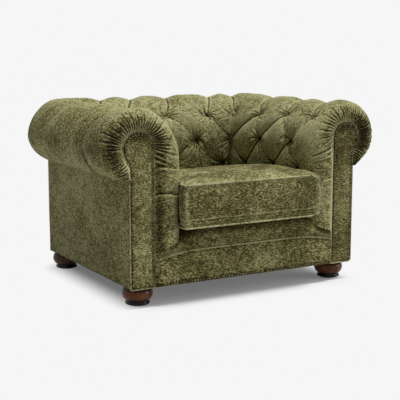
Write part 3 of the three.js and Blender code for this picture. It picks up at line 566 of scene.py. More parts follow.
def gathers(w, height, travel, side, seed):
    """Depth of the gathers round the arm front, with painted shade in their narrow valleys and
    painted highlight on their ridges: every second one short, with deeper tucks laid across them
    by their height on each side, painted darker too."""
    dice = np.random.RandomState(seed)
    reach = dice.uniform(*PLEAT_REACH, PLEATS + 2)
    reach[1::2] *= dice.uniform(*SHORT_PLEAT, len(reach[1::2]))
    full = dice.uniform(*PLEAT_FULLNESS, PLEATS + 2)
    sway = 0.30 * np.sin(5.1 * w + seed) + 0.16 * np.sin(13.3 * w + 2 * seed + 30 * travel)
    count = part_way(w, PLEAT_START, PLEAT_END) * PLEATS + sway
    number = np.clip(np.rint(count), 0, PLEATS + 1).astype(int)
    ridge = np.abs(np.sin(np.pi * (count - number)))
    valley = 1 - ridge**3.2
    fade = part_way(travel, reach[number], 0) ** 0.7 * np.clip(travel / 0.010, 0.25, 1)
    fade = fade * part_way(w, 0.74, 0.84) * part_way(w, PLEAT_END, 3.93)
    depth = PLEAT_DEPTH * full[number] * valley * fade
    shade = (VALLEY_DARK * valley - RIDGE_LIGHT * ridge**9) * full[number] * fade
    for level, deep in ARM_TUCKS[side]:
        above = height - level - 0.006 * np.sin(40 * travel)
        tuck = np.exp(-np.abs(above / TUCK_HEIGHT)) - 0.45 * hump(above, -0.009, 0.006)
        run = part_way(travel, TUCK_REACH, 0) ** 0.5 * (w < 2)
        depth = depth + deep * tuck * run
        shade = shade + TUCK_SHADE * deep * tuck * run
    return depth, shade


def outside_creases(y, p, side):
    """A looser pleat down the outer side of the roll, lapped towards the back, and a soft ridge
    further along: how deep they are, with painted shade along the pleat's lap and a painted
    highlight on the ridge."""
    behind = y - np.interp(p, CREASE_P, CREASE_Y) - (RIGHT_CREASE_BACK if side > 0 else 0)
    run = part_way(p, CREASE_P[0], 0.855) * part_way(p, P_END, P_END - 0.02)
    lap = part_way(behind, -0.003, 0) * np.exp(-np.clip(behind, 0, None) / CREASE_WIDTH)
    ridge = hump(y, RIDGE_Y, RIDGE_WIDTH) * part_way(p, 0.86, 0.90)
    dark = CREASE_DARK * run * hump(behind, -0.009, 0.0100) - RIDGE_PALE * ridge
    return CREASE_DEPTH * run * lap - RIDGE_RISE * ridge, dark


def painted_light_by_height(p):
    """Painted light and shade up the cloth: painted lighter round the upper buttons, painted
    darker low down by the seat.
    """
    return 0.35 * part_way(p, 0.24, 0.16) - 0.60 * hump(p, 0.375, 0.085)


def front_painted_light(w, travel, side):
    """Painted light and shade round the arm front: painted darker close round the facing, painted
    lighter on the flank of the front that faces the light, and darker on the flank turned away."""
    turned = np.clip(-side * (w - 1.9) * 2.5, -1, 1)
    light, closed = np.clip(turned, 0, 1), np.clip(-turned, 0, 1)
    low = part_way(w, 0.95, 0.80)
    # Painted shade: a dark band behind the gathers, lighter over the crest, and the roll's outer
    # side.
    band = hump(travel, 0.056 - 0.022 * closed, 0.024) * (1 - 0.5 * hump(w, 1.95, 0.35))
    dark = 1.55 * band * part_way(w, 0.8, 1.1) + 0.95 * hump(w, 2.85, 0.50)
    # The flank that faces the light is painted light against the facing, most of all low down; the
    # flank turned away gets painted shade.
    dark = dark - (0.4 + 2.8 * light) * hump(travel, 0.007, 0.0055)
    dark = dark - 2.4 * light * low * hump(travel, 0.014, 0.013)
    return dark + (0.8 + 0.9 * low) * closed * hump(travel, 0.022, 0.026)


def tucked_in(edge, middle, shares, aside):
    """The cover's hidden edge, taken some way towards the middle of the roll and aside."""
    return edge + (np.array(middle) - edge) * shares + aside


ARM_BUTTONS = {
    "A": ((0.445, 0.431), (0.255, 0.448), (0.071, 0.446)),
    "B": ((0.386, 0.309), (0.169, 0.320)),
    "C": ((0.494, 0.192), (0.283, 0.208), (0.110, 0.210)),
}
ARM_LEANS = (None, 0.097, 0.054, 0.080)
ARM_SHUT = {("A", 1, 0), ("A", 2, 1), ("C", 0, 0), ("C", 0, 1), ("C", 1, 2)}
ARM_SEEDS = {-1: 3, 1: 8}
arm_rows = {"C": ARM_BUTTONS["C"]}
for row, p in CORNER_BUTTONS.items():
    arm_rows[row] = ((float(mitre_place(OUT_AT[row])) - FACING_Y, p), *ARM_BUTTONS[row])
arm_net = lay_folds(arm_rows, ARM_LEANS, 0.021, 0.095, ARM_SHUT)

FRONT_ROWS, LENGTH_ROWS, CORNER_ROWS = 62, 235, 36
GATHER_SETBACK, GATHER_PROUD, CREST, UNDER_FACING = 0.038, 0.023, 0.42, 0.002
FRONT_DROP, SAG, STRETCHED = 0.040, 0.005, 0.035
HEM, HEM_ASIDE = 0.03, 0.004
HEM_SHARE = HEM / 0.16


def inside_arm(name, side, seed):
    """One arm's cover, all round the roll: gathered front, straight length and corner."""
    start = FACING_Y + GATHER_SETBACK
    p, w = p_line[None, :], w_line[None, :]
    out0, up0 = roll_out[None, :], roll_up[None, :]
    way_out, way_up = roll_normal[None, :, 0], roll_normal[None, :, 1]
    # The gathered front, from under the facing's edge out to the roll.
    share = np.linspace(0, 1, FRONT_ROWS)[:-1, None] ** 1.15
    rising = np.minimum(share / CREST, 1) * np.pi / 2
    falling = np.maximum((share - CREST) / (1 - CREST), 0) * np.pi / 2
    blend = CREST * (1 - np.cos(rising)) + (1 - CREST) * np.sin(falling)
    y = FACING_Y + UNDER_FACING - (GATHER_PROUD + UNDER_FACING) * np.sin(rising)
    y = y + (GATHER_PROUD + GATHER_SETBACK) * (1 - np.cos(falling))
    depth, front_shade = draw_in(y - FACING_Y, p, mitre_place(out0) - y, arm_net, seed)
    depth = depth * blend**2
    out = board_out + (out0 - way_out * depth - board_out) * blend
    up = board_up + (up0 - way_up * depth - board_up) * blend
    up = up - FRONT_DROP * (1 - blend) * part_way(p, 0.13, 0) ** 1.5
    front = np.stack([ROLL_X + out, y + 0 * out, up], -1)
    # The straight length and the corner.
    length = np.linspace(0, 1, LENGTH_ROWS)[:-1]
    rows = np.concatenate([length, 1 + np.linspace(0, 1, CORNER_ROWS)])[:, None]
    straight_y = arm_points(out0 + 0 * rows, up0, rows, start)[..., 1]
    corner_y = mitre_place(out0) - corner_travel(out0, rows - 1)[0]
    rest_y = np.where(rows <= 1, straight_y, corner_y)
    to_mitre = mitre_place(out0) - rest_y
    depth, shade = draw_in(rest_y - FACING_Y, p, to_mitre, arm_net, seed)
    full = part_way(depth, STRETCHED, 0) * part_way(rest_y, start, start + 0.05)
    sag = SAG * full * part_way(to_mitre, 0, 0.05) * part_way(p, 0, 0.06) * settled(w)
    creases, dark = outside_creases(rest_y, p, side)
    depth = depth + creases + slack_corner(w, to_mitre)
    body = arm_points(out0 - way_out * depth, up0 - way_up * depth, rows, start)
    body[..., 2] -= sag
    # The gathers, then the painted light and shade over all of it.
    points = np.concatenate([front, body])
    steps = np.linalg.norm(np.diff(points, axis=0), axis=-1)
    travel = np.concatenate([np.zeros((1, ACROSS)), np.cumsum(steps, axis=0)])
    pleats, painted_shade = gathers(w, points[..., 2], travel, side, seed)
    points = points - outward(points, least=1e-9) * pleats[..., None]
    painted_shade = painted_shade + np.concatenate([front_shade * blend**2, shade + dark])
    painted_shade = painted_shade + painted_light_by_height(p) * part_way(travel, 0.08, 0.12) + front_painted_light(w, travel, side)
    # The cover's hidden edges turn in behind the facing, at the mitre and under the roll.
    middle, shares = (ROLL_X, 0, ROLL_Z), (HEM_SHARE, 0, HEM_SHARE)
    hem = tucked_in(points[-1:], middle, shares, (0, HEM_ASIDE, 0))
    points, painted_shade = np.concatenate([points, hem]), np.concatenate([painted_shade, painted_shade[-1:]])
    travel = np.append(travel[:, ACROSS // 2], travel[-1, ACROSS // 2] + HEM)
    weave = np.stack(np.broadcast_arrays(travel[:, None], p), -1)
    points[..., 0] *= side
    if side < 0:
        points, weave, painted_shade = points[:, ::-1], weave[:, ::-1], painted_shade[:, ::-1]
    return cloth_mesh(name, points, weave, cover, painted_shade=painted_shade)


for hand, side in SIDES:
    arm = inside_arm(hand + "_inside_arm", side, ARM_SEEDS[side])
    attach(arm, "chair")
    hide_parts(hand + "_inside_arm_pad")


# Inside back: another length of the chenille over the same stuffing, buttoned like the arms
# and sewn to them by a mitre in each corner. None of its folds is pulled quite shut.
BACK_BUTTONS = {
    "A": ((-0.196, 0.416), (-0.002, 0.416), (0.184, 0.414)),
    "B": ((-0.130, 0.288), (0.120, 0.288)),
    "C": ((-0.250, 0.181), (-0.005, 0.183), (0.242, 0.181)),
}
BACK_LEANS, BACK_SEED = (0.048, 0.070, 0.044, 0.080, 0.066), 5
BACK_ROWS = 290
BACK_HEM_SHARE = HEM / 0.13


def back_mitre(out):
    return ROLL_X + np.minimum(out, 0)


back_rows = {"C": BACK_BUTTONS["C"]}
for row, p in CORNER_BUTTONS.items():
    q = float(back_mitre(OUT_AT[row]))
    back_rows[row] = ((-q, p), *BACK_BUTTONS[row], (q, p))
back_net = lay_folds(back_rows, BACK_LEANS, 0.018, 0.070)


def inside_back(name):
    """The back's cover, all round its roll, with its half of both corners."""
    p, w = p_line[None, :], w_line[None, :]
    out0, up0 = roll_out[None, :], roll_up[None, :]
    ends, length = np.linspace(0, 1, CORNER_ROWS), np.linspace(-1, 1, BACK_ROWS)[1:-1]
    rows = np.concatenate([-2 + ends, length, 1 + ends])[:, None]
    side = np.sign(rows + 1e-9)

    def places(out, up):
        short, turn = corner_travel(out, np.clip(np.abs(rows) - 1, 0, 1))
        swing, turn = np.maximum(out, 0), np.where(out > 0, turn, 0)
        half = back_mitre(out) - CORNER_ZONE
        x = np.where(np.abs(rows) <= 1, rows * half, side * (back_mitre(out) - short))
        x = x + side * swing * np.sin(turn)
        y = BACK_AXIS_Y + BACK_SCALE * (np.minimum(out, 0) + swing * np.cos(turn))
        return np.stack([x, y, up + 0 * x], -1), short

    flat, short = places(out0 + 0 * rows, up0)
    rest_x = np.where(np.abs(rows) <= 1, flat[..., 0], side * (back_mitre(out0) - short))
    to_mitre = back_mitre(out0) - np.abs(rest_x)
    depth, shade = draw_in(rest_x, p, to_mitre, back_net, BACK_SEED)
    depth = depth + slack_corner(w, to_mitre)
    way_out, way_up = roll_normal[None, :, 0], roll_normal[None, :, 1]
    points, _ = places(out0 - way_out * depth, up0 - way_up * depth)
    full = part_way(depth, STRETCHED, 0) * part_way(to_mitre, 0, 0.05)
    points[..., 2] -= SAG * full * part_way(p, 0, 0.06) * settled(w)
    middle, shares = (0, BACK_AXIS_Y, ROLL_Z), (0, BACK_HEM_SHARE, HEM_SHARE)
    left_hem = tucked_in(points[:1], middle, shares, (-HEM_ASIDE, 0, 0))
    right_hem = tucked_in(points[-1:], middle, shares, (HEM_ASIDE, 0, 0))
    points = np.concatenate([left_hem, points, right_hem])
    weave = np.stack(np.broadcast_arrays(points[:, ACROSS // 2, :1] + 3, p), -1)
    shade = shade + painted_light_by_height(p)
    shade = np.concatenate([shade[:1], shade, shade[-1:]])
    return cloth_mesh(name, points[:, ::-1], weave[:, ::-1], cover, painted_shade=shade[:, ::-1])


back = inside_back("inside_back")
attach(back, "chair")
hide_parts("inside_back_pad")


# Covered buttons: one metal shell each, wrapped in a scrap of the same chenille and drawn in
# on twine, which is tied off behind the stuffing. Four of them sit on the corners' mitres.
BUTTON_RADIUS, BUTTON_RISE, BUTTON_PROUD = 0.0125, 0.006, 0.004


def covered_button(name, place, facing):
    """A low dome on a short shank; facing is the way that its top points."""
    turns, rings = 28, 9
    bend = np.linspace(0, np.pi / 2, rings)[:, None]
    angle = np.linspace(0, 2 * np.pi, turns + 1)[None, :-1]
    radius = BUTTON_RADIUS * np.cos(bend) + 1e-5
    rise = BUTTON_RISE * np.sin(bend) + 0 * angle
    across = Vector(facing).to_track_quat("Z", "Y").to_matrix()
    local = np.stack([radius * np.cos(angle), radius * np.sin(angle), rise], -1)
    shank = local[:1] * (0.86, 0.86, 1) - (0, 0, 0.006)
    local = np.concatenate([shank, local])
    points = local @ np.array(across).T + np.array(place)
    return cloth_mesh(name, points, local[..., :2] + np.array(place[:2]), cover, wrap=True)


def cover_spot(p):
    """Place on the section, and the way out of it, p up the cloth."""
    out, up, normal = roll_outline([float(np.interp(p, outline_p, outline_w))])
    return float(out[0]), float(up[0]), normal[0]


def back_y(out):
    return BACK_AXIS_Y + BACK_SCALE * out


buttons = []
for row in "ABC":
    for side, seed in ARM_SEEDS.items():
        for q, p in ARM_BUTTONS[row]:
            out, up, (way_out, way_up) = cover_spot(p)
            depth, _ = draw_in(q, p, mitre_place(out) - FACING_Y - q, arm_net, seed)
            sink = depth - BUTTON_PROUD
            spot = (side * (ROLL_X + out - way_out * sink), FACING_Y + q, up - way_up * sink)
            buttons.append((spot, (side * way_out, 0, way_up)))
        if row in CORNER_BUTTONS:
            out, up, (way_out, way_up) = cover_spot(CORNER_BUTTONS[row])
            sink = mitre_depth(CORNER_BUTTONS[row]) - BUTTON_PROUD
            out, up = out - way_out * sink, up - way_up * sink
            spot = (side * (ROLL_X + out), back_y(out), up)
            buttons.append((spot, (side * way_out, 0.9 * way_out, 1.3 * way_up)))
    for x, p in BACK_BUTTONS[row]:
        out, up, (way_out, way_up) = cover_spot(p)
        depth, _ = draw_in(x, p, back_mitre(out) - abs(x), back_net, BACK_SEED)
        sink = depth - BUTTON_PROUD
        spot = (x, back_y(out - way_out * sink), up - way_up * sink)
        buttons.append((spot, (0, way_out, way_up)))
for number, (spot, facing) in enumerate(buttons):
    button = covered_button(f"button_{number + 1:02d}", spot, facing)
    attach(button, "chair")


# Arm facings: a thin board padded with a little felt and covered in chenille, its edge rolled
# over a cord, tacked over the ends of the gathers.
FACING_INNER, FACING_MIDDLE, FACING_OUTER, BASE = 0.400, 0.45, 0.500, 0.073
HEAD_RADIUS, NECK_FILLET, FOOT_CORNER = 0.063, 0.024, 0.010
FACING_SWELL, FACING_CROWN = 0.0045, 0.0025
FACING_PITCH, CORD_PITCH, CORD_RADIUS = 0.004, 0.006, 0.0030


def spread(path, count):
    """Points spread evenly along a path, and the way along it to each of them."""
    length = arc_length(path[:, 0], path[:, 1])
    at = np.linspace(0, length[-1], count + 1)[:-1]
    x, y = np.interp(at, length, path[:, 0]), np.interp(at, length, path[:, 1])
    return np.stack([x, y], -1), at


def keyhole(step):
    """Points round a facing for the right arm, from the bottom inner corner, anticlockwise."""
    neck = math.acos((FACING_OUTER - ROLL_X) / HEAD_RADIUS)
    join = neck - NECK_FILLET / HEAD_RADIUS
    neck_z = ROLL_Z - HEAD_RADIUS * math.sin(neck)
    path = [(FACING_INNER, BASE), (FACING_OUTER - FOOT_CORNER, BASE)]
    for turn in np.linspace(-math.pi / 2, 0, 7)[1:]:
        x, z = FOOT_CORNER * (math.cos(turn) - 1), FOOT_CORNER * (math.sin(turn) + 1)
        path.append((FACING_OUTER + x, BASE + z))
    path.append((FACING_OUTER, neck_z - NECK_FILLET))
    end = (ROLL_X + HEAD_RADIUS * math.cos(join), ROLL_Z - HEAD_RADIUS * math.sin(join))
    for t in np.linspace(0, 1, 9)[1:]:
        a, b = (1 - t) ** 2, 2 * t * (1 - t)
        x = a * FACING_OUTER + b * FACING_OUTER + t * t * end[0]
        z = a * (neck_z - NECK_FILLET) + b * neck_z + t * t * end[1]
        path.append((x, z))
    for turn in np.linspace(-join, math.pi, 60)[1:]:
        path.append((ROLL_X + HEAD_RADIUS * math.cos(turn), ROLL_Z + HEAD_RADIUS * math.sin(turn)))
    path = np.array(path + [path[0]])
    return spread(path, int(arc_length(*path.T)[-1] / step))[0]


def arm_facing(name, side):
    """The padded facing, from its edge behind the cord in to the spine along its middle."""
    edge = keyhole(FACING_PITCH)
    height = np.clip(edge[:, 1], BASE + 0.05, ROLL_Z)
    lean = (ROLL_X - FACING_MIDDLE) * part_way(height, 0.5, ROLL_Z)
    spine = np.stack([FACING_MIDDLE + lean, height], -1)
    shares = np.concatenate([[0], 1 - np.cos(np.linspace(0, np.pi / 2, 16)[1:])])[:, None, None]
    flat = edge[None] + (spine - edge)[None] * shares
    width = np.linalg.norm(spine - edge, axis=-1)[None, :] * shares[..., 0]
    rise = FACING_SWELL * part_way(width, 0, 0.010) ** 0.5 + FACING_CROWN * shares[..., 0]
    y = FACING_Y + 0.003 - rise + 0.0006 * waver(flat[..., 0], flat[..., 1], 4, 0.06)
    y[0] = FACING_Y + 0.005
    points = np.stack([side * flat[..., 0], y, flat[..., 1]], -1)
    weave = np.stack([side * flat[..., 0] + 7, flat[..., 1]], -1)
    # Painted shade at the top under the gathers and in a band just inside the cord, and a little
    # over all of the right facing.
    painted_shade = 1.4 * part_way(flat[..., 1], 0.604, 0.628) + (0.45 if side > 0 else 0)
    painted_shade = painted_shade + 1.2 * hump(width, 0.008, 0.005) * (flat[..., 1] < 0.60)
    points, weave, painted_shade = (grid[:, :: -side] for grid in (points, weave, painted_shade))
    return cloth_mesh(name, points, weave, cover, wrap=True, painted_shade=painted_shade)


def piping(name, path, radius, closed=True, turns=10, painted_shade=0.2):
    """A covered cord along a path of points, in the lighter chenille, a painted highlight, with
    painted_shade along the path darkening it.
    """
    path = np.asarray(path, float)
    ahead = np.roll(path, -1, 0) - np.roll(path, 1, 0)
    if not closed:
        ahead[0], ahead[-1] = path[1] - path[0], path[-1] - path[-2]
    ahead = unit(ahead)
    flat_path = abs(ahead[:, 2]).mean() < 0.5
    first = unit(np.cross(ahead, (0.31, 0.05, 0.95) if flat_path else (0.05, 1, 0.1)))
    second = np.cross(ahead, first)
    angle = np.linspace(0, 2 * np.pi, turns + 1)[None, :-1, None]
    ring = radius * (np.cos(angle) * first[:, None] + np.sin(angle) * second[:, None])
    points = path[:, None] + ring
    length = np.concatenate([[0], np.cumsum(np.linalg.norm(np.diff(path, axis=0), axis=1))])
    painted_shade = np.broadcast_to(painted_shade, len(path))
    if closed:
        points, painted_shade = np.concatenate([points, points[:1]]), np.append(painted_shade, painted_shade[0])
        length = np.append(length, length[-1] + np.linalg.norm(path[0] - path[-1]))
    weave = np.stack(np.broadcast_arrays(length[:, None], radius * angle[..., 0]), -1)
    return cloth_mesh(name, points, weave, highlit_chenille, wrap=True, painted_shade=painted_shade[:, None])


for hand, side in SIDES:
    facing = arm_facing(hand + "_facing_cover", side)
    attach(facing, "chair")
    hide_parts(hand + "_arm_facing")
    rim = keyhole(CORD_PITCH)
    rim = np.stack([side * rim[:, 0], np.full(len(rim), FACING_Y + 0.0005), rim[:, 1]], -1)
    # Painted highlight low on the cord left of each facing's middle, strongest on the right arm,
    # and painted shade on the rest of the cord.
    left_below = (rim[:, 0] < side * FACING_MIDDLE) & (rim[:, 2] < 0.54)
    shaded = np.where(left_below, -0.3 - 0.7 * side, 1.0)
    cord = piping(hand + "_facing_cord", rim, CORD_RADIUS, painted_shade=shaded)
    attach(cord, "chair")


# Close nailing: small antique bronze nails with domed heads, set nearly head to head inside
# the edge of each facing and along the bottom of the front border.
NAIL_RADIUS, NAIL_RISE, NAIL_PITCH, NAIL_INSET = 0.0050, 0.0032, 0.0125, 0.0095
NAIL_TARNISH_AND_SHADE, NAIL_CROWN_SHINE = (0.011, 0.009, 0.004, 1), (0.19, 0.16, 0.078, 1)

bronze, tree, shader = new_finish("antique_bronze", {"Metallic": 1, "Roughness": 0.42})
place = finish_node(tree, "TexCoord", "Object")
patches = finish_node(tree, "TexNoise", "Fac", {"Vector": place, "Scale": 90})
crown = finish_node(tree, "Attribute", "Fac", attribute_name="crest")
# Patina in patches, with a painted highlight on each dome's crown and painted shade at its rim.
patina_and_painted_shine = add(tree, patches, crown, 0.45)
metal = coloured(tree, patina_and_painted_shine, (0.70, NAIL_TARNISH_AND_SHADE), (1.0, NAIL_CROWN_SHINE))
tree.links.new(metal, shader.inputs["Base Color"])


def nail_heads(name, places):
    """Domed heads whose tops point forward, joined as one row."""
    turns, rings = 10, 4
    angle = np.linspace(0, 2 * np.pi, turns + 1)[:-1]
    dome = []
    for bend in np.linspace(0, np.pi / 2, rings)[:-1]:
        radius, rise = NAIL_RADIUS * math.cos(bend), NAIL_RISE * math.sin(bend)
        dome += [(radius * math.cos(a), -rise, radius * math.sin(a)) for a in angle]
    dome = np.array(dome + [(0, -NAIL_RISE, 0)])
    faces = []
    for r in range(rings - 2):
        for i in range(turns):
            j = (i + 1) % turns
            faces.append((r * turns + i, r * turns + j, (r + 1) * turns + j, (r + 1) * turns + i))
    top, last = len(dome) - 1, (rings - 2) * turns
    faces += [(last + i, last + (i + 1) % turns, top) for i in range(turns)]
    verts, all_faces = [], []
    for number, spot in enumerate(places):
        verts.extend((dome + np.array(spot)).tolist())
        all_faces.extend(tuple(v + number * len(dome) for v in face) for face in faces)
    mesh = bpy.data.meshes.new(name)
    mesh.from_pydata(verts, [], all_faces)
    mesh.polygons.foreach_set("use_smooth", [True] * len(mesh.polygons))
    # The dome's height, which paints the highlight on the crown and the shade at the rim.
    shade_layer = mesh.attributes.new("crest", "FLOAT", "POINT")
    shade_layer.data.foreach_set("value", (-dome[:, 1] / NAIL_RISE).tolist() * len(places))
    mesh.materials.append(bronze)
    row = bpy.data.objects.new(name, mesh)
    bpy.context.scene.collection.objects.link(row)
    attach(row, "chair")


def nail_line():
    """Places of the nails round a facing, evenly in from its edge."""
    edge = keyhole(0.002)
    ahead = unit(np.roll(edge, -1, 0) - np.roll(edge, 1, 0))
    line = edge + NAIL_INSET * np.stack([-ahead[:, 1], ahead[:, 0]], -1)
    line[:, 0] = np.clip(line[:, 0], FACING_INNER + NAIL_INSET, None)
    line[:, 1] = np.clip(line[:, 1], BASE + NAIL_INSET, None)
    low = line[:, 1] < 0.5
    line[low, 0] = np.clip(line[low, 0], None, FACING_OUTER - NAIL_INSET)
    return spread(line, round(arc_length(*line.T)[-1] / NAIL_PITCH))[0]


for hand, side in SIDES:
    places = [(side * x, FACING_Y - 0.0005, z) for x, z in nail_line()]
    nail_heads(hand + "_facing_nails", places)


# Front border and lip: the border is a flat padded panel over the front rail; the lip above
# it is a soft roll under the cushion. A seam joins them, falling towards both arms.
BORDER_Y, BORDER_X, BORDER_END, END_WIDTH = -0.4095, 0.386, 0.3995, 0.02
SEAM_Z, SEAM_DROP, SEAM_RADIUS, SEAM_PROUD = 0.200, 0.022, 0.0027, 0.0015
LIP_TOP, LIP_AT_ARMS, LIP_NOSE, LIP_BACK = 0.277, 0.216, 0.030, 0.045
NAIL_ROW_Z = 0.0835


def seam_height(x):
    beyond = np.clip(np.abs(x) / BORDER_X - 0.55, 0, 0.45) / 0.45
    return SEAM_Z - SEAM_DROP * beyond**2


def end_turn(x):
    """1 over most of the width, falling to 0 where the border turns back to the facing."""
    beyond = part_way(np.abs(x), BORDER_X - 0.006, BORDER_END)
    return np.sqrt(np.clip(1 - beyond**2, 0, 1))


def quarter_round(x, radius):
    """Rises from 0 to 1 over a radius as a quarter of a circle does."""
    return np.sqrt(np.clip(1 - (1 - part_way(x, 0, radius)) ** 2, 0, 1))


def front_border():
    """The padded panel, its lower edge turned under, its ends turned back to the facings."""
    end = -BORDER_END + END_WIDTH * np.linspace(0, 1, 9)[:-1] ** 1.5
    between = np.linspace(-BORDER_END + END_WIDTH, BORDER_END - END_WIDTH, 150)
    x = np.concatenate([end, between, -end[::-1]])[:, None]
    t = np.linspace(0, 1, 40)[None, :]
    seam, turn = seam_height(x) - 0.001, end_turn(x)
    z = BASE + (seam - BASE) * t
    edge = np.minimum(z - BASE, seam - z)
    y = FACING_Y - (FACING_Y - BORDER_Y) * (0.25 + 0.75 * quarter_round(edge, 0.009)) * turn
    y = y - 0.0025 * np.sin(np.pi * t) * turn + 0.0009 * waver(x, z, 21, 0.12) * turn
    points = np.stack(np.broadcast_arrays(x, y, z), -1)
    turned_under = points[:, :1].copy()
    turned_under[..., 1] = FACING_Y + 0.006
    points = np.concatenate([turned_under, points], 1)
    # Painted shade over the border, darker in a band along the nail row.
    painted_shade = 0.2 + 1.5 * hump(points[..., 2], NAIL_ROW_Z, 0.006)
    return cloth_mesh("front_border_cover", points, points[..., [0, 2]] + 11, cover, painted_shade=painted_shade)


def front_lip():
    """Up the face from the seam, over the rounded nose and back under the cushion."""
    x = np.linspace(-BORDER_END, BORDER_END, 190)[:, None]
    t = np.linspace(0, 1, 46)[None, :]
    seam, turn = seam_height(x) + 0.001, end_turn(x)
    top = LIP_TOP - (LIP_TOP - LIP_AT_ARMS) * part_way(np.abs(x), 0.235, 0.392) ** 1.1
    face, bend = part_way(t, 0, 0.5), part_way(t, 0.5, 0.8) * np.pi / 2
    nose = np.minimum(LIP_NOSE, (top - seam) * 0.7)
    z = seam + (top - nose - seam) * face + nose * np.sin(bend)
    y = FACING_Y - (FACING_Y - BORDER_Y) * (0.3 + 0.7 * quarter_round(z - seam, 0.010)) * turn
    y = y - 0.004 * np.sin(np.pi * face) * turn + nose * (1 - np.cos(bend))
    y = y + LIP_BACK * part_way(t, 0.8, 1) + 0.0012 * waver(x, z, 9, 0.10)
    points = np.stack(np.broadcast_arrays(x, y, z), -1)
    weave = np.stack(np.broadcast_arrays(x + 13, t * 0.16), -1)
    # Painted shade over all of the lip.
    return cloth_mesh("front_lip_cover", points, weave, cover, painted_shade=0.35)


seam_x = np.linspace(-BORDER_END + 0.001, BORDER_END - 0.001, 300)
seam_y = FACING_Y - (FACING_Y - BORDER_Y - SEAM_PROUD) * end_turn(seam_x)
seam_path = np.stack([seam_x, seam_y, seam_height(seam_x)], -1)
# A slight painted highlight along the seam cord.
seam = piping("border_seam_cord", seam_path, SEAM_RADIUS, closed=False, painted_shade=-0.1)
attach(seam, "chair")
border = front_border()
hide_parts("front_border")
lip = front_lip()
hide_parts("front_lip")
for piece in (border, lip):
    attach(piece, "chair")
nail_row = np.arange(-BORDER_X + 0.008, BORDER_X, NAIL_PITCH)
nail_heads("border_nails", [(x, BORDER_Y - 0.0005, NAIL_ROW_Z) for x in nail_row])


# Outside arms and outside back: one piece of chenille each, stretched flat over webbing and
# board, turned in at its edges and tacked to the seat rails and the back posts.
PANEL_SIDE, PANEL_REAR, PANEL_FRONT, PANEL_TOP = 0.5, 0.403, -0.3965, 0.469


def outside_panel(name, start, end, normal, seed):
    """start and end are the panel's two lower corners in plan; normal points outwards."""
    start, end, normal = (np.array(v, float) for v in (start, end, normal))
    width, height = np.linalg.norm(end - start), PANEL_TOP - BASE
    s = np.linspace(0, 1, 120)[:, None]
    t = np.linspace(0, 1, 60)[None, :]
    edge = np.minimum(np.minimum(s, 1 - s) * width, np.minimum(t, 1 - t + 0.1) * height)
    rise = -0.004 * (1 - part_way(edge, 0, 0.006)) ** 2
    rise = rise + 0.0010 * waver(s * width, t * height, seed, 0.22)
    plan = start + (end - start) * s[..., None] + normal * rise[..., None]
    z = np.broadcast_to(BASE + height * t, rise.shape)
    points = np.concatenate([plan, z[..., None]], -1)
    weave = np.stack(np.broadcast_arrays(s * width + seed, BASE + height * t), -1)
    return cloth_mesh(name, points, weave, cover)


for name, start, end, normal, seed, length, rests_on in (
    (
        "left_outside_arm", (-PANEL_SIDE, PANEL_REAR), (-PANEL_SIDE, PANEL_FRONT), (-1, 0),
        31, 0.80, ["left_seat_rail", "left_back_post"],
    ),
    (
        "right_outside_arm", (PANEL_SIDE, PANEL_FRONT), (PANEL_SIDE, PANEL_REAR), (1, 0),
        32, 0.80, ["right_seat_rail", "right_back_post"],
    ),
    (
        "outside_back", (PANEL_SIDE, PANEL_REAR), (-PANEL_SIDE, PANEL_REAR), (0, 1),
        33, 1.0, ["back_seat_rail", "left_back_post", "right_back_post"],
    ),
):
    panel = outside_panel(name, start, end, normal, seed)
    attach(panel, "chair")
    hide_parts(name + "_panel")


# Seat cushion: loose, boxed and piped, its crown softer in the middle, with small ears that
# spread in front of the arms. Used, it has sunk towards the back and at one front corner.
CUSHION_FRONT, CUSHION_BACK, CUSHION_HALF = -0.473, 0.213, 0.2850
CUSHION_LOW, LOWER_WELT, UPPER_WELT, CUSHION_CROWN = 0.2875, 0.2935, 0.452, 0.478
CORNER_RADIUS, LEFT_EAR, RIGHT_EAR = 0.026, 0.105, 0.058
BOXING_SEAM, GROOVE_WIDTH, GROOVE_DEPTH = 0.320, 0.0035, 0.0022
UNDER_INSET, BOXING_INSET, CROWN_INSET, CROWN_WIDTH = 0.030, 0.008, 0.007, 0.236
SUNKEN_CORNER, LIFTED_CORNER = 0.032, 0.016
UNDER_SHADE, BOXING_SHADE, TOP_SHADE = 0.3, 0.65, 1.0
WELT_INSET, WELT_RADIUS = 0.004, 0.0030


def cushion_plan(inset, count=300):
    """Points round the cushion, seen from above, drawn in by an inset."""
    half, front, back = CUSHION_HALF - inset, CUSHION_FRONT + inset, CUSHION_BACK - inset
    round_off = max(CORNER_RADIUS - 0.4 * inset, 0.012)
    path = []
    for x, y, start, radius in (
        (half, front, -90, round_off),
        (half, back, 0, round_off),
        (-half, back, 90, round_off),
        (-half, front, 180, 0.25 * round_off),
    ):
        x = x - math.copysign(radius, x)
        y = y + radius if start in (-90, 180) else y - radius
        for turn in np.radians(np.linspace(start, start + 90, 13)):
            path.append((x + radius * math.cos(turn), y + radius * math.sin(turn)))
    plan, at = spread(np.array(path + [path[0]]), count)
    ears = np.where(plan[:, 0] < 0, LEFT_EAR, RIGHT_EAR)
    plan[:, 0] *= 1 + ears * eased(part_way(plan[:, 1], -0.388, -0.428))
    return plan, at


def front_corner(plan):
    """0 over most of the cushion, rising to 1 at its right front corner."""
    away = np.hypot(np.abs(plan[:, 0]) - 0.302, plan[:, 1] - CUSHION_FRONT)
    return part_way(away, 0.060, 0) ** 1.3 * (plan[:, 0] > 0)


def sunken(plan):
    """How far the cushion has sunk at its upper edge and top."""
    beyond = np.clip(plan[:, 1] + 0.27, 0, None)
    return 0.17 * beyond**2 / (beyond + 0.10) + SUNKEN_CORNER * front_corner(plan)


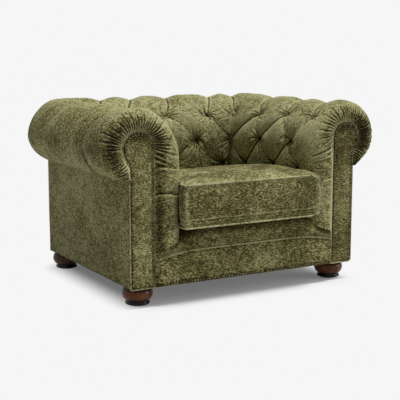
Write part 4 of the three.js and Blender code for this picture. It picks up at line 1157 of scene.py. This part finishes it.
def cushion_rings():
    """The cushion's rings from the middle of its underside to the middle of its top, each as
    (inset, height), and how much painted shade each gets: some under it, more over the boxing,
    most on the top, with a painted highlight along the edge of the boxing's seam."""
    rings = [(0.14, CUSHION_LOW), (0.06, CUSHION_LOW), (UNDER_INSET, CUSHION_LOW + 0.0005)]
    for t in np.linspace(0, 1, 8)[1:-1]:
        inset = UNDER_INSET - (UNDER_INSET - BOXING_INSET) * math.sin(t * math.pi / 2)
        rings.append((inset, CUSHION_LOW + (LOWER_WELT - CUSHION_LOW) * t**1.3))
    shade = [UNDER_SHADE] * len(rings)
    for t in np.linspace(0, 1, 52):
        z = LOWER_WELT + (UPPER_WELT - LOWER_WELT) * t
        groove = GROOVE_DEPTH * hump(z, BOXING_SEAM, GROOVE_WIDTH)
        rings.append((BOXING_INSET - BOXING_INSET * math.sin(math.pi * t) ** 0.6 + groove, z))
        shade.append(BOXING_SHADE - 1.6 * hump(z, BOXING_SEAM + 0.003, GROOVE_WIDTH))
    for t in np.linspace(0, 1, 30)[1:]:
        rise = 1 - (1 - t) ** 4.5
        inset = CROWN_INSET + CROWN_WIDTH * t
        rings.append((inset, UPPER_WELT + (CUSHION_CROWN - UPPER_WELT) * rise))
        shade.append(TOP_SHADE)
    return rings, np.array(shade)[:, None]


def cushion_cover():
    """The rings set round each other, sunk where the cushion is used, and closed by two caps."""
    rings, shade = cushion_rings()
    points, weave, height, before = [], [], 0, rings[0]
    for inset, z in rings:
        plan, at = cushion_plan(inset)
        height += math.hypot(inset - before[0], z - before[1])
        before = inset, z
        raised = part_way(z, LOWER_WELT, UPPER_WELT)
        shift = 0.0016 * waver(plan[:, 0], plan[:, 1], 17, 0.16) - sunken(plan)
        lifted = LIFTED_CORNER * front_corner(plan) * (1 - raised)
        points.append(np.concatenate([plan, (z + raised * shift + lifted)[:, None]], 1))
        round_about = np.stack([at * (1 - inset), 0 * at + height + 5], -1)
        weave.append(plan + 17 if inset > 0.01 and z > UPPER_WELT else round_about)
    points, weave = np.array(points), np.array(weave)
    piece = cloth_mesh("cushion_cover", points, weave, cover, wrap=True, painted_shade=shade)
    count = points.shape[1]
    last = (len(rings) - 1) * count
    net = bmesh.new()
    net.from_mesh(piece.data)
    net.verts.ensure_lookup_table()
    net.faces.new([net.verts[last + i] for i in range(count)])
    net.faces.new([net.verts[i] for i in reversed(range(count))])
    net.to_mesh(piece.data)
    net.free()
    return piece


cushion = cushion_cover()
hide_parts("seat_cushion")
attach(cushion, "cushion")
plan, _ = cushion_plan(WELT_INSET, 240)
# The welts are in the lighter chenille, a painted highlight.
for name, level in (
    ("lower_welt", LOWER_WELT + LIFTED_CORNER * front_corner(plan)),
    ("upper_welt", UPPER_WELT - sunken(plan)),
):
    welt = piping(name, np.concatenate([plan, level[:, None]], 1), WELT_RADIUS)
    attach(welt, "cushion")


# Seat deck: jute hessian and felt laid over the springs and tacked to the rails, a little
# sunk at its edges. It is hidden while the cushion is in.
DARK_JUTE, LIGHT_JUTE = (0.16, 0.11, 0.05, 1), (0.46, 0.37, 0.21, 1)
DECK_EDGE, DECK_EDGE_WIDTH, DECK_CLEAR = 0.012, 0.03, 0.0008

jute, tree, shader = new_finish("jute_hessian", {"Roughness": 0.95})
place = finish_node(tree, "TexCoord", "Object")
threads = []
for direction in "XY":
    weft = {"Vector": place, "Scale": 90, "Distortion": 1.5}
    threads.append(finish_node(tree, "TexWave", "Fac", weft, bands_direction=direction))
woven = finish_node(tree, "Math", "Value", dict(enumerate(threads)), operation="MULTIPLY")
tan = coloured(tree, woven, (0, DARK_JUTE), (1, LIGHT_JUTE))
tree.links.new(tan, shader.inputs["Base Color"])

low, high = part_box("seat_deck")
x = np.linspace(low.x, high.x, 60)[:, None]
y = np.linspace(low.y, high.y, 60)[None, :]
edge = np.minimum(np.minimum(x - low.x, high.x - x), np.minimum(y - low.y, high.y - y))
z = high.z - DECK_EDGE * (1 - part_way(edge, 0, DECK_EDGE_WIDTH)) ** 2 - DECK_CLEAR
z = z + 0.0007 * waver(x, y, 12, 0.1)
points = np.stack(np.broadcast_arrays(x, y, np.minimum(z, high.z)), -1)
deck = cloth_mesh("deck_cover", points, points[..., :2], jute)
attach(deck, "chair")
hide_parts("seat_deck")


# Feet: hardwood buns turned in one piece with the ring below, stained dark red-brown and
# lacquered. The stain is rubbed back to a glow round the belly; above the belly the colour darkens
# again as painted shade under the seat.
DARK_STAIN, LIGHT_STAIN = (0.014, 0.005, 0.003, 1), (0.21, 0.066, 0.015, 1)
RING_STAIN_AND_TOP_SHADE = (0.004, 0.0022, 0.0016, 1)
GLOW, SHADED_TOP, NO_GLOW = (1, 1, 1, 1), (0.06, 0.06, 0.06, 1), (0, 0, 0, 1)
BELLY_Z, BELLY_RISE, BELLY_CORE, BELLY_SWELL = 0.0455, 0.0285, 0.0300, 0.0280

sockets = {"Roughness": 0.34, "Specular IOR Level": 0.10}
sockets |= {"Coat Weight": 0.16, "Coat Roughness": 0.14}
mahogany, tree, shader = new_finish("lacquered_mahogany", sockets)
place = finish_node(tree, "TexCoord", "Object")
grain = noise(tree, place, (60, 60, 9), 5, scale=1.6)
stain = coloured(tree, grain, (0.3, DARK_STAIN), (0.74, LIGHT_STAIN))
height = finish_node(tree, "SeparateXYZ", "Z", {"Vector": place})
decimetres = finish_node(tree, "Math", "Value", {0: height, 1: 10}, operation="MULTIPLY")
# The black ring and the lighter belly are the stain; the darkening at the top is painted shade
# under the seat.
stain_and_top_shade = coloured(
    tree, decimetres, (0.17, NO_GLOW), (0.34, GLOW), (0.50, GLOW), (0.66, SHADED_TOP)
)
tones = {"Factor": stain_and_top_shade, "A": RING_STAIN_AND_TOP_SHADE, "B": stain}
tone = finish_node(tree, "Mix", "Result", tones, data_type="RGBA")
tree.links.new(tone, shader.inputs["Base Color"])


def bun_foot(name, x, y, turns=64):
    """The turned foot: its outline from the floor up, spun about its middle."""
    line = [(0.0005, 0.0033), (0.0415, 0.0033), (0.0445, 0.0050), (0.0462, 0.0078)]
    line += [(0.0462, 0.0105), (0.0448, 0.0128), (0.0430, 0.0142), (0.0426, 0.0160)]
    for turn in np.radians(np.linspace(-72, 80, 22)):
        radius = BELLY_CORE + BELLY_SWELL * math.cos(turn) ** 0.9
        line.append((radius, BELLY_Z + BELLY_RISE * math.sin(turn)))
    line = np.array(line + [(0.030, 0.0727), (0.0005, 0.0727)])
    radius, z = line[:, :1], line[:, 1:]
    angle = np.linspace(0, 2 * np.pi, turns + 1)[:-1]
    points = np.stack([x + radius * np.cos(angle), y + radius * np.sin(angle), z + 0 * angle], -1)
    weave = np.stack(np.broadcast_arrays(angle * 0.05, z), -1)
    return cloth_mesh(name, points, weave, mahogany, wrap=True)


for corner in ("left_front", "left_back", "right_front", "right_back"):
    low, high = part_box(corner + "_foot")
    foot = bun_foot(corner + "_bun_foot", (low.x + high.x) / 2, (low.y + high.y) / 2)
    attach(foot, "chair")
    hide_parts(corner + "_foot")


# Frame, springs and felt: beech rails, posts and boards, steel springs and studs, and the
# black felt of the glides and dust cover. What the cover hides keeps its own shape.
FINISHES = {
    "beech": ("planed_beech", (0.42, 0.26, 0.12, 1), (0.62, 0.43, 0.23, 1), (14, 90, 90), 0.6, 0),
    "steel": ("drawn_steel", (0.30, 0.30, 0.31, 1), (0.46, 0.46, 0.47, 1), (80, 80, 80), 0.35, 1),
    "felt": (
        "black_felt", (0.012, 0.012, 0.011, 1), (0.032, 0.031, 0.029, 1), (300, 300, 300), 0.95, 0
    ),
}

finishes = {}
for slot, (name, dark, light, stretch, roughness, metallic) in FINISHES.items():
    sockets = {"Roughness": roughness, "Metallic": metallic}
    finishes[slot], tree, shader = new_finish(name, sockets)
    grain = noise(tree, finish_node(tree, "TexCoord", "Object"), stretch, 4)
    tint = coloured(tree, grain, (0.3, dark), (0.7, light))
    tree.links.new(tint, shader.inputs["Base Color"])
for entry in frame["record"]["subparts"]:
    if entry["material_slot"] in finishes:
        for slot in frame["nodes"][entry["node"]].material_slots:
            slot.material = finishes[entry["material_slot"]]
